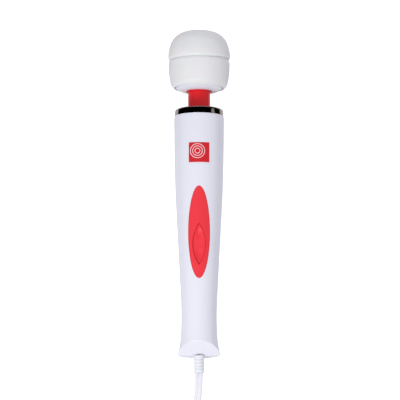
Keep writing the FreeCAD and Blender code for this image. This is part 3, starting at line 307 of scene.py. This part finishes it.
# glazed ceramic: pale tan with a soft shine
finishes["ceramic"] = mouldedFinish("glazedCeramic", {
    "colour": "#CFC7B0", "shade": "#C4BBA3", "driftSize": 4, "rough": (0.3, 0.5),
    "grain": (0.3, 0.01, 3, 0.02), "shader": {"IOR": 1.6}})
# PVC on thin leads: dark grey with a soft shine
finishes["lead_pvc"] = mouldedFinish("leadPvc", {
    "colour": "#2B2C30", "shade": "#232427", "driftSize": 6, "rough": (0.35, 0.5),
    "grain": (0.4, 0.01, 4, 0.02), "shader": {"IOR": 1.53}})


# Turned and ground metal: the noise is drawn long across one way, so its streaks break the highlight.
def machinedFinish(name, look):
    finish, tree, shader, spot, _ = startFinish(name, look)
    long, fine, depth = look["streaks"]
    scales = (1 / (fine * mm), 1 / (long * mm), 1 / (fine * mm))
    stretch = add(tree, "Mapping", {"Scale": scales}, {"Vector": spot})
    streak = add(tree, "TexNoise", {"Scale": 1.0, "Detail": 3.0}, {"Vector": stretch.outputs["Vector"]})
    bump = add(tree, "Bump", {"Strength": 0.5, "Distance": depth * mm}, {"Height": streak.outputs["Fac"]})
    tree.links.new(bump.outputs["Normal"], shader.inputs["Normal"])
    return finish


# black-nickel chrome plate on a polished ring: near-mirror, dark and faintly warm
finishes["dark_chrome"] = machinedFinish("blackNickelChrome", {
    "colour": "#A29A93", "shade": "#9A928B", "driftSize": 15, "rough": (0.05, 0.09),
    "streaks": (0.4, 9, 0.0006), "shader": {"Metallic": 1.0}})
# zinc-plated steel: bright, faintly yellow, with turning lines
finishes["zinc_steel"] = machinedFinish("zincPlatedSteel", {
    "colour": "#C9C8C2", "shade": "#B9B7AC", "driftSize": 4, "rough": (0.25, 0.4),
    "streaks": (6, 0.3, 0.004), "shader": {"Metallic": 1.0}})
# ground steel: clean bright grey with fine grinding lines
finishes["bearing_steel"] = machinedFinish("groundSteel", {
    "colour": "#C2C4C8", "shade": "#B4B6BA", "driftSize": 6, "rough": (0.15, 0.25),
    "streaks": (8, 0.2, 0.002), "shader": {"Metallic": 1.0}})
# oiled spring steel: darker grey that shines along the wire
finishes["spring_steel"] = machinedFinish("oiledSpringSteel", {
    "colour": "#8E8F93", "shade": "#7C7D80", "driftSize": 3, "rough": (0.25, 0.35),
    "streaks": (5, 0.3, 0.003), "shader": {"Metallic": 1.0}})
# die-cast zinc: dull grey metal with a rough skin
finishes["cast_weight"] = mouldedFinish("castZinc", {
    "colour": "#8C8D8F", "shade": "#7B7C7F", "driftSize": 4, "rough": (0.45, 0.6),
    "grain": (0.3, 0.03, 3, 0.03), "shader": {"Metallic": 1.0}})
# sintered bronze: brown-gold and soft in its shine
finishes["bronze"] = machinedFinish("sinteredBronze", {
    "colour": "#B9873F", "shade": "#A97834", "driftSize": 3, "rough": (0.35, 0.5),
    "streaks": (3, 0.3, 0.004), "shader": {"Metallic": 1.0}})
# enamelled copper wire: orange-brown under clear lacquer, wound in ridges
finishes["copper"] = machinedFinish("enamelledCopper", {
    "colour": "#C0602A", "shade": "#A94E20", "driftSize": 2, "rough": (0.2, 0.3),
    "streaks": (10, 0.5, 0.08), "shader": {"Metallic": 1.0, "Coat Weight": 0.5}})
# nickel-plated brass blade: bright, with fine drawing lines along it
finishes["brass_blade"] = machinedFinish("nickelPlatedBrass", {
    "colour": "#D2CFC6", "shade": "#C7C3B8", "driftSize": 5, "rough": (0.16, 0.26),
    "streaks": (12, 0.25, 0.004), "shader": {"Metallic": 1.0}})


# Woven hook-and-loop tape: crossed threads that make a fine dull check.
def wovenFinish(name, look):
    finish, tree, shader, spot, _ = startFinish(name, look)
    wave = {"Scale": math.tau / (look["thread"] * mm) / 20, "Distortion": 0.6}
    across = add(tree, "TexWave", {**wave, "bands_direction": "X"}, {"Vector": spot})
    along = add(tree, "TexWave", {**wave, "bands_direction": "DIAGONAL"}, {"Vector": spot})
    both = add(tree, "Math", {"operation": "MULTIPLY"}, {0: across.outputs["Fac"], 1: along.outputs["Fac"]})
    bump = add(tree, "Bump", {"Strength": 0.8, "Distance": 0.15 * mm}, {"Height": both.outputs["Value"]})
    tree.links.new(bump.outputs["Normal"], shader.inputs["Normal"])
    return finish


finishes["tie_nylon"] = wovenFinish("wovenNylonTape", {
    "colour": "#232327", "shade": "#2E2E33", "driftSize": 1.2, "rough": (0.7, 0.9), "thread": 0.6,
    "shader": {"Sheen Weight": 0.4}})
# silver polyester film without any print: a flat pale grey glint
finishes["silver_label"] = mouldedFinish("silverPolyesterFilm", {
    "colour": "#C6C8CC", "shade": "#BEC0C5", "driftSize": 6, "rough": (0.3, 0.4),
    "grain": (0.2, 0.002, 10, 0.01), "shader": {"Metallic": 0.3}})


# Printed polyester badge: solid red ink with a few pale rings in its middle, a plain sign for vibration.
def badgeFinish(name, look):
    finish, tree, shader, spot, blend = startFinish(name, look)
    centre = onWand(*look["ringCentre"])
    distance = add(tree, "VectorMath", {"operation": "DISTANCE", 1: tuple(centre)}, {0: spot})
    size = add(tree, "Math", {"operation": "DIVIDE", 1: look["ringPitch"] * mm},
               {0: distance.outputs["Value"]})
    part = add(tree, "Math", {"operation": "FRACT"}, {0: size.outputs["Value"]})
    band = add(tree, "Math", {"operation": "LESS_THAN", 1: look["ringShare"]}, {0: part.outputs["Value"]})
    inside = add(tree, "Math", {"operation": "LESS_THAN", 1: look["ringCount"] + look["ringShare"]},
                 {0: size.outputs["Value"]})
    ink = add(tree, "Math", {"operation": "MULTIPLY"}, {0: band.outputs["Value"], 1: inside.outputs["Value"]})
    printed = add(tree, "Mix", {"data_type": "RGBA", 7: toLinear(look["ink"])},
                  {0: ink.outputs["Value"], 6: blend.outputs[2]})
    tree.links.new(printed.outputs[2], shader.inputs["Base Color"])
    addGrain(tree, shader, spot, *look["grain"])
    return finish


finishes["red_label"] = badgeFinish("printedRedFilm", {
    "colour": "#DA1E29", "shade": "#D21924", "driftSize": 8, "rough": (0.3, 0.38), "ink": "#F7D5D6",
    "ringCentre": (-1.5, -23.4, 196.5), "ringPitch": 2.2, "ringShare": 0.3, "ringCount": 3,
    "grain": (0.3, 0.002, 6, 0.01), "shader": {"IOR": 1.5}})

slotOf = {row["node"]: row["material_slot"] for row in frame["record"]["subparts"]}
for name, node in nodes.items():
    node.data.materials.clear()
    node.data.materials.append(finishes[slotOf[name]])
print("materials on", len(nodes), "CAD nodes")

# Head cover.
head = {"softEdge": 0.5, "segments": 192}
coverCorners = [
    (22.9, 263.3), (24.3, 262.0), (28.1, 268, 9.2, 1), (29.8, 283.4, 75, 1), (29.85, 285.4, 40, 1),
    (28.9, 288.9, 3.4, 1), (28.2, 289.6, 1.2, -1), (28.9, 290.4, 1.2, -1), (30.15, 293.4, 3.2, 1),
    (30.1, 296.6, 90, 1), (28.4, 304.2, 34, 1), (10.4, 318.4, 18.5, 1), (0, 318.75, 150, 1),
    (0, 313.2), (13, 313.2), (26.1, 300, 13.1, -1), (26.1, 269), (22.9, 265)]
headCover = lathe("headCover", softenCorners(drawArcs(coverCorners), head["softEdge"]), head["segments"])
headCover.data.materials.append(finishes["white_silicone"])
settle(headCover, "head", "white_silicone", "head_cover")

baseCorners = [
    (12.6, 259.1), (16.2, 259.1), (22.8, 262.9, 11, 1), (22.8, 264.2), (15.6, 264.2), (15.6, 261),
    (12.6, 261)]
headBase = lathe("headBase", softenCorners(drawArcs(baseCorners), 0.7), 160)
headBase.data.materials.append(finishes["white_abs"])
settle(headBase, "head", "white_abs", "head_base_plate")
print("head made")

# Neck, in two halves that meet at its middle.
neck = {"radius": 10.7, "inside": 8.2, "flange": 14, "middle": 250, "foot": 237.1, "top": 262.4}
lowerCorners = [
    (neck["inside"], neck["foot"]), (neck["flange"], neck["foot"]), (neck["flange"], 239.5), (11.0, 239.5),
    (neck["radius"], 240.9, 1.6, -1), *[(neck["radius"], 240.9 + step) for step in (2, 4, 6, 8)],
    (neck["radius"], neck["middle"]), (neck["inside"], neck["middle"]),
    *[(neck["inside"], neck["middle"] - step) for step in (2, 4, 6, 8, 10)]]
upperCorners = [
    (neck["inside"], neck["middle"]), (neck["radius"], neck["middle"]),
    *[(neck["radius"], neck["middle"] + step) for step in (2, 4, 6, 8)], (neck["radius"], 259.3),
    (11.2, 260.3, 1.2, -1), (neck["flange"], 260.3), (neck["flange"], neck["top"]),
    (neck["inside"], neck["top"]),
    *[(neck["inside"], neck["top"] - step) for step in (2, 4, 6, 8, 10)]]
neckLower = lathe("neckLower", drawArcs(lowerCorners), 128)
neckUpper = lathe("neckUpper", drawArcs(upperCorners), 128)
for piece, bodies, low, high in ((neckLower, ("handle", "neck"), 240.5, neck["middle"]),
                                 (neckUpper, ("neck", "head"), neck["middle"], 259.5)):
    piece.data.materials.append(finishes["red_silicone"])
    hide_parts("neck_boot")
    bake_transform(piece)

# Collar ring.
ringCorners = [
    (22.25, 234.2), (23.85, 234.2), (23.6, 238.8), (21.2, 241.2, 2.4, 1), (10.9, 241.25, 900, 1),
    (10.9, 239.6), (22.25, 239.6)]
collarRing = lathe("collarRing", softenCorners(drawArcs(ringCorners, 0.3), 0.25), 224)
collarRing.data.materials.append(finishes["dark_chrome"])
settle(collarRing, "handle", "dark_chrome", "collar_ring")
print("neck and collar made")

# Supply cord: out of the strain relief, onto the surface and into a put-away coil.
cord = {"halfWide": 3.7, "halfThick": 1.85, "valley": 1.15, "length": 1.8, "smooth": 5}
coil = {"x": 13, "away": 94.5, "inner": 18.35, "outer": 31.65, "straight": 39, "turns": 7, "bendSteps": 7,
        "layers": 4, "low": 2.6, "layerPitch": 3.75, "climb": 0.16}

cordExit = onWand(0, 0, -16.5) / mm
coilCentre = Vector((coil["x"], cordExit.y - coil["away"], 0))


# The coil is wound like thread on a bobbin: each layer runs from the outer turn to the inner one or back,
# and the cord steps down one layer in between. A turn goes down the left side, round, up the right, round.
def windCoil():
    half, perLayer = coil["straight"] / 2, coil["turns"] / coil["layers"]
    bend = [math.pi * k / coil["bendSteps"] for k in range(coil["bendSteps"])]
    oneTurn = [(-1, half, math.pi), (-1, 0, math.pi), *[(0, -half, math.pi + a) for a in bend],
               (1, -half, 0), (1, 0, 0), *[(0, half, a) for a in bend]]
    points = []
    for step in range(coil["turns"] * len(oneTurn) + 3):
        turn = step / len(oneTurn)
        share = (turn / perLayer) % 2
        inward = share if share < 1 else 2 - share
        radius = coil["outer"] + (coil["inner"] - coil["outer"]) * inward
        level = coil["layers"] - 1
        for layer in range(1, coil["layers"]):
            fall = min(max((turn - layer * perLayer) / coil["climb"] + 0.5, 0), 1)
            level -= fall * fall * (3 - 2 * fall)
        side, along, angle = oneTurn[step % len(oneTurn)]
        across = side * radius if side else radius * math.cos(angle)
        bow = 0 if side else radius * math.sin(angle)
        points.append(coilCentre + Vector((across, along + bow, coil["low"] + level * coil["layerPitch"])))
    return points


windings = windCoil()
layDown = [cordExit + Vector(step) for step in (
    (0, 0, 0), (-0.4, -17, -0.4), (-2.8, -34, -1.4), (-8.6, -50, -3.3), (-15.0, -63, -5.6))]
leadOut = [windings[-1] + Vector(step) for step in (
    (-0.2, -14, 0), (-0.8, -25, 2.0), (-1.6, -37, 5.2), (-2.2, -46, 6.0))]
cordPoints = layDown + windings + leadOut

routeCurve = bpy.data.curves.new("cordRoute", "CURVE")
routeCurve.dimensions = "3D"
routeCurve.resolution_u = cord["smooth"]
spline = routeCurve.splines.new("NURBS")
spline.points.add(len(cordPoints) - 1)
for knot, place in zip(spline.points, cordPoints):
    knot.co = (*(place * mm), 1)
spline.order_u = 3
spline.use_endpoint_u = True
routeObject = bpy.data.objects.new("cordRoute", routeCurve)
centreMesh = bpy.data.meshes.new_from_object(routeObject)
centreLine = [vertex.co.copy() for vertex in centreMesh.vertices]
bpy.data.objects.remove(routeObject)
print("cord length", round(sum((b - a).length for a, b in zip(centreLine, centreLine[1:])), 3))


# The two cores make two round ridges with a shallow valley on each side.
def twinSection(points=12):
    offset, radius = cord["halfWide"] - cord["halfThick"], cord["halfThick"]
    reachAngle = math.pi - math.asin(cord["valley"] / radius)
    section = []
    for side in (1, -1):
        for k in range(points + 1):
            angle = -reachAngle + 2 * reachAngle * k / points + (0 if side > 0 else math.pi)
            section.append((side * offset + radius * math.cos(angle), radius * math.sin(angle)))
    return section


# Carries a flat section along a line of points and keeps its wide side level.
def sweepLevel(name, line, section):
    points = []
    for index, here in enumerate(line):
        ahead = line[min(index + 1, len(line) - 1)] - line[max(index - 1, 0)]
        across = ahead.cross(Vector((0, 0, 1))).normalized()
        upward = across.cross(ahead).normalized()
        points += [here / mm + across * x + upward * y for x, y in section]
    count = len(section)
    faces = gridFaces(len(line), count, True)
    faces += [tuple(range(count)), tuple(range(len(points) - count, len(points)))]
    return makePiece(name, points, faces, Matrix.Identity(4), 60)


supplyCord = sweepLevel("supplyCord", centreLine, twinSection())
supplyCord.data.materials.append(finishes["white_pvc"])
settle(supplyCord, "handle", "white_pvc", "cord_tube", "cord_coil", "cord_tail")

# Plug.
plug = {"long": 26, "tail": 14, "turn": 3, "halfWide": 12, "halfTall": 8.4,
        "grooves": 4, "groovePitch": 3.0, "sleeveWide": 5.0, "sleeveTall": 3.8,
        "widens": 1.6, "thickens": 1.8, "ribs": 5, "firstRib": 20.5, "ribPitch": 2.6,
        "ribWide": 11.6, "ribTall": 8.2, "gripWide": 10.9, "gripTall": 7.7}
plugEnd = centreLine[-1]
plugWay = Matrix.Translation(plugEnd) @ Matrix.Rotation(math.radians(plug["turn"]), 4, "Z")


# Rounded sections, each (distance from the cord, half width, half height, squareness), skinned in turn.
def loft(name, sections, place, around=56, sharp=40):
    points = []
    for distance, halfWide, halfTall, square in sections:
        for k in range(around):
            c, s = math.cos(math.tau * k / around), math.sin(math.tau * k / around)
            points.append((math.copysign(abs(c) ** (2 / square), c) * halfWide, -distance,
                           math.copysign(abs(s) ** (2 / square), s) * halfTall))
    faces = gridFaces(len(sections), around, True)
    faces += [tuple(range(around)), tuple(range(len(points) - around, len(points)))]
    return makePiece(name, points, faces, place, sharp)


def plugSections():
    sections = [(-0.6, 4.2, 2.6, 2.2), (0, 4.8, 3.3, 2.2)]
    for groove in range(plug["grooves"]):
        start = 0.6 + groove * plug["groovePitch"]
        grow = groove / plug["grooves"]
        wide = plug["sleeveWide"] + plug["widens"] * grow
        tall = plug["sleeveTall"] + plug["thickens"] * grow
        sections += [(start + further, wide + extra, tall + extra, 2.3)
                     for further, extra in ((0, 0), (1.5, 0.3), (1.8, -0.6), (2.7, -0.5))]
    sections += [(12.8, 6.9, 5.9, 2.5), (14.4, 8.6, 6.9, 3.0), (16.4, 11.0, 7.8, 3.6), (18.6, 11.9, 8.4, 4.2)]
    rib, grip = (plug["ribWide"], plug["ribTall"], 4.2), (plug["gripWide"], plug["gripTall"], 4.2)
    for number in range(plug["ribs"]):
        start = plug["firstRib"] + number * plug["ribPitch"]
        sections += [(start, *rib), (start + 0.5, *grip), (start + 1.5, *grip), (start + 2.0, *rib)]
    end = plug["tail"] + plug["long"]
    full = (plug["halfWide"], plug["halfTall"], 4.6)
    sections += [(end - 4.6, *full), (end - 1.0, *full), (end - 0.3, 11.7, 8.1, 4.4), (end, 11.0, 7.4, 4.2)]
    return sections


plugBody = loft("plugBody", plugSections(), plugWay)
plugBody.data.materials.append(finishes["white_pvc"])
settle(plugBody, "handle", "white_pvc", "plug_body")

blade = {"wide": 6.3, "thick": 1.5, "long": 17, "pitch": 12.7, "hole": 1.6, "holeFromTip": 3.2, "nose": 1.2}


# A flat blade with a round hole: the outline and the hole have the same number of points.
def buildBlade(name, x, count=48):
    half, tip = blade["wide"] / 2, plug["tail"] + plug["long"] + blade["long"]
    root = tip - blade["long"] - 0.5
    centre = tip - blade["holeFromTip"]
    rings = []
    for side in (-1, 1):
        outline, hole = [], []
        for k in range(count):
            c, s = math.cos(math.tau * k / count), math.sin(math.tau * k / count)
            room = tip - centre if c > 0 else centre - root
            span = min(half / max(abs(s), 1e-6), room / max(abs(c), 1e-6))
            along, across = centre + c * span, s * span
            pinch = max(0, (along - (tip - blade["nose"])) / blade["nose"])
            across *= 1 - 0.18 * pinch
            outline.append((x + side * blade["thick"] / 2 * (1 - 0.45 * pinch), -along, across))
            hole.append((x + side * blade["thick"] / 2, -(centre + c * blade["hole"]), s * blade["hole"]))
        rings.append((outline, hole))
    (outA, holeA), (outB, holeB) = rings
    points = outA + outB + holeB + holeA
    faces = gridFaces(4, count, True)
    faces += [(3 * count + k, 3 * count + (k + 1) % count, (k + 1) % count, k) for k in range(count)]
    return makePiece(name, points, faces, plugWay, 30)


blades = [buildBlade(f"plugBlade{number}", side * blade["pitch"] / 2) for number, side in enumerate((-1, 1))]
for piece in blades:
    piece.data.materials.append(finishes["brass_blade"])
    settle(piece, "handle", "brass_blade", "plug_blades")

# Tie round the coil: woven tape, wrapped once and laid over its own start.
tie = {"wide": 8, "thick": 0.7, "corner": 2.2, "halfAcross": 10.8, "low": 0.37, "high": 16.1, "overlap": 24}


def buildTie():
    middle = (coil["inner"] + coil["outer"]) / 2
    turns = [(1, tie["low"], 1), (1, tie["high"], -1), (-1, tie["high"], -1), (-1, tie["low"], 1)]
    line = []
    for index, (side, height, inward) in enumerate(turns):
        centre = Vector((side * (tie["halfAcross"] - tie["corner"]), height + inward * tie["corner"]))
        line += [centre + Matrix.Rotation(math.pi / 2 * (index + k / 8), 2) @ Vector((0, -tie["corner"]))
                 for k in range(9)]
    travelled = 0
    for before, here in zip(line[:36], line[1:36]):
        way = here - before
        travelled += way.length
        if travelled > tie["overlap"]:
            break
        line.append(here + Vector((way.y, -way.x)).normalized() * (tie["thick"] + 0.04))
    points = []
    for index, here in enumerate(line):
        way = line[min(index + 1, len(line) - 1)] - line[max(index - 1, 0)]
        outward = Vector((way.y, -way.x)).normalized() * tie["thick"] / 2
        for across, lift in ((-1, -1), (1, -1), (1, 1), (-1, 1)):
            spot = here + outward * lift
            points.append((middle + spot.x, across * tie["wide"] / 2, spot.y))
    faces = gridFaces(len(line), 4, True) + [(0, 1, 2, 3), tuple(range(len(points) - 4, len(points)))]
    return makePiece("cordTie", points, faces, Matrix.Translation(coilCentre * mm), 30)


cordTie = buildTie()
cordTie.data.materials.append(finishes["tie_nylon"])
settle(cordTie, "handle", "tie_nylon", "cord_tie")
print("cord, plug and tie made")

# Strain relief: a grooved sleeve, and its seat that closes the hole flush with the slanted face.
relief = {"bore": 3.85, "tip": -16.5, "tipRadius": 4.95, "topRadius": 5.3, "grooves": 4, "first": -3.4,
          "pitch": 3.1, "grooveWide": 1.1, "grooveDeep": 0.75, "seatRadius": 6.22, "seatTop": 8,
          "slant": 34.4}


def reliefOutline():
    outline = [(relief["bore"], relief["tip"]), (relief["tipRadius"], relief["tip"])]
    for number in reversed(range(relief["grooves"])):
        top = relief["first"] - number * relief["pitch"]
        low = top - relief["grooveWide"]
        share = (top - relief["tip"]) / -relief["tip"]
        radius = relief["tipRadius"] + (relief["topRadius"] - relief["tipRadius"]) * share
        outline += [(radius, low), (radius - relief["grooveDeep"], low + 0.15),
                    (radius - relief["grooveDeep"], top - 0.15), (radius, top)]
    outline += [(relief["topRadius"], -0.05), (relief["bore"], -0.05)]
    return softenCorners([Vector(corner) for corner in outline], 0.3, 3)


strainRelief = lathe("strainRelief", reliefOutline(), 96)
seatCorners = [(0.4, 0), (2, 0), (4, 0), (relief["seatRadius"], 0), (relief["seatRadius"], relief["seatTop"]),
               (0.4, relief["seatTop"])]
reliefSeat = lathe("reliefSeat", [Vector(corner) for corner in seatCorners], 96, Matrix.Identity(4))
slope = math.tan(math.radians(relief["slant"]))
for vertex in reliefSeat.data.vertices:
    if vertex.co.z < 0.5 * mm:
        vertex.co.z = max(-vertex.co.y * slope, 0)
reliefSeat.data.transform(wandPlace)
for piece in (strainRelief, reliefSeat):
    piece.data.materials.append(finishes["white_pvc"])
    settle(piece, "handle", "white_pvc", "strain_relief")

# Switch panel and rocker.
panel = {"height": 117.9, "long": 44.7, "wide": 10.4, "proud": 0.25, "skirt": 2.2, "edge": 0.5}
rocker = {"height": 106.2, "openLong": 20.2, "openWide": 6.3, "long": 20.0, "wide": 6.18, "sunk": 1.15,
          "skirt": 3.6, "edge": 0.5, "dish": 1.4, "lean": 0.35, "dimpleSpread": 9.5, "dimpleDepth": 0.6,
          "dimpleLong": 5.6, "dimpleWide": 3.6}


# The lens's edge in a direction from its middle, found by halving between inside and outside.
def lensEdge(angle, long, wide):
    radius = (long ** 2 + wide ** 2) / (2 * wide)
    near, far = 0.0, long + 1
    for _ in range(40):
        middle = (near + far) / 2
        x, z = abs(middle * math.cos(angle)), abs(middle * math.sin(angle))
        inside = math.hypot(x + radius - wide, z) < radius
        near, far = (middle, far) if inside else (near, middle)
    return near * math.cos(angle), near * math.sin(angle)


# Evenly spaced directions crowd at a lens's tips, so the angles are taken from its stretched shape.
def lensRing(count, long, wide):
    angles = [math.atan2(long * math.sin(math.tau * k / count), wide * math.cos(math.tau * k / count))
              for k in range(count)]
    return [lensEdge(angle, long, wide) for angle in angles]


def buildPanel(count=240):
    hole = [(x, z + rocker["height"]) for x, z in lensRing(count, rocker["openLong"], rocker["openWide"])]
    rim = []
    for k in range(count):
        turn = math.tau * k / count
        rim.append((panel["wide"] * math.cos(turn), panel["height"] + panel["long"] * math.sin(turn)))
    edge = panel["edge"]
    shares = [0, 0.01, 0.03, 0.07]
    shares += [0.07 + 0.86 * step / 10 for step in range(1, 10)] + [0.93, 0.97, 0.99, 1]
    rows = [[(*spot, -panel["skirt"]) for spot in hole]]
    for share in shares:
        row = []
        for inner, outer in zip(hole, rim):
            x, z = (a + (b - a) * share for a, b in zip(inner, outer))
            span = math.hypot(outer[0] - inner[0], outer[1] - inner[1])
            near = min(share, 1 - share) * span
            drop = edge * (1 - math.sqrt(max(1 - (1 - min(near / edge, 1)) ** 2, 0))) * 0.7
            row.append((x, z, panel["proud"] - drop))
        rows.append(row)
    rows.append([(*spot, -panel["skirt"]) for spot in rim])
    points = [onHandle(x, z, proud) for row in rows for x, z, proud in row]
    return makePiece("switchPanel", points, gridFaces(len(rows), count, True), sharp=40)


def buildRocker(count=200, rings=26):
    rim = lensRing(count, rocker["long"], rocker["wide"])
    rows = []
    for ring in range(rings + 1):
        share = max(ring / rings, 1e-3)
        row = []
        for x, z in rim:
            near = (1 - share) * math.hypot(x, z)
            edge = rocker["edge"]
            drop = edge * (1 - math.sqrt(max(1 - (1 - min(near / edge, 1)) ** 2, 0)))
            dip = rocker["dish"] * (1 - share ** 2)
            for side in (-1, 1):
                reach = math.hypot(x * share / rocker["dimpleWide"],
                                   (z * share - side * rocker["dimpleSpread"]) / rocker["dimpleLong"])
                dip += rocker["dimpleDepth"] * max(1 - reach ** 2, 0) ** 1.2
            lean = rocker["lean"] * x * share / rocker["wide"]
            row.append((x * share, z * share, lean - rocker["sunk"] - drop - dip))
        rows.append(row)
    rows.append([(x, z, -rocker["sunk"] - rocker["skirt"]) for x, z in rim])
    points = [onHandle(x, z + rocker["height"], proud) for row in rows for x, z, proud in row]
    middle = len(points)
    points.append(onHandle(0, rocker["height"], -rocker["sunk"]))
    faces = gridFaces(len(rows), count, True)
    faces += [(middle, k, (k + 1) % count) for k in range(count)]
    return makePiece("switchRocker", points, faces, sharp=50)


switchPanel = buildPanel()
switchPanel.data.materials.append(finishes["coral_abs"])
settle(switchPanel, "handle", "coral_abs", "switch_panel")
switchRocker = buildRocker()
switchRocker.data.materials.append(finishes["coral_abs"])
settle(switchRocker, "rocker", "coral_abs", "switch_rocker")
print("switch made")

# Floor and light.
# The paper glows so that it stays white. Only the sheet right under the wand is seen in its gloss.
paper = {"reach": 12, "floorGlow": 0.9, "underHalfWide": 0.1, "underGlow": 0.4, "colour": "#D8D8DA",
         "floorHeight": -0.0004, "underHeight": -0.0005}


def paperSheet(name, halfWide, height, glow):
    mesh = bpy.data.meshes.new(name)
    far = paper["reach"]
    mesh.from_pydata([(-halfWide, -far, 0), (halfWide, -far, 0), (halfWide, far, 0), (-halfWide, far, 0)],
                     [], [(0, 1, 2, 3)])
    sheet = bpy.data.objects.new(name, mesh)
    sheet.location.z = height
    sheet.visible_diffuse = False
    bpy.context.scene.collection.objects.link(sheet)
    surface = bpy.data.materials.new("seamlessPaper")
    surface.use_nodes = True
    shader = surface.node_tree.nodes["Principled BSDF"]
    shader.inputs["Base Color"].default_value = toLinear(paper["colour"])
    shader.inputs["Roughness"].default_value = 0.9
    shader.inputs["Specular IOR Level"].default_value = 0.0
    shader.inputs["Emission Color"].default_value = (1, 1, 1, 1)
    shader.inputs["Emission Strength"].default_value = glow
    mesh.materials.append(surface)
    return sheet


floor = paperSheet("studioFloor", paper["reach"], paper["floorHeight"], paper["floorGlow"])
floor.visible_glossy = False
underSheet = paperSheet("underSheet", paper["underHalfWide"], paper["underHeight"], paper["underGlow"])
underSheet.visible_camera = False

# A white tent: even light from above, a little less from below.
tent = {"above": 0.71, "below": 0.6, "tint": "#F8F8FF"}
world = bpy.data.worlds.new("studioTent")
world.use_nodes = True
sky = world.node_tree
ray = add(sky, "TexCoord").outputs["Generated"]
split = add(sky, "SeparateXYZ", {}, {"Vector": ray})
glow = add(sky, "MapRange",
           {"From Min": -0.3, "From Max": 0.3, "To Min": tent["below"], "To Max": tent["above"]},
           {"Value": split.outputs["Z"]})
sky.nodes["Background"].inputs["Color"].default_value = toLinear(tent["tint"])
sky.links.new(glow.outputs["Result"], sky.nodes["Background"].inputs["Strength"])
world.cycles_visibility.glossy = False
bpy.context.scene.world = world


def softbox(name, place, size, power, glossy=True):
    light = bpy.data.lights.new(name, "AREA")
    light.shape = "DISK"
    light.size = size
    light.energy = power
    lamp = bpy.data.objects.new(name, light)
    lamp.location = Vector(place)
    lamp.rotation_euler = (Vector((0, 0, 0.02)) - lamp.location).to_track_quat("-Z", "Y").to_euler()
    lamp.visible_camera = False
    lamp.visible_glossy = glossy
    bpy.context.scene.collection.objects.link(lamp)


# A soft key past the tail on the left, a faint strip for the ring's right side, and a fill past the head.
softbox("tailKey", (-0.38, -0.84, 0.92), 0.5, 7.6)
softbox("headFill", (0.1, 1.3, 0.9), 0.8, 3, False)
softbox("rightCard", (1.5, 0.35, 0.62), 0.5, 0.35)
print("studio lit")
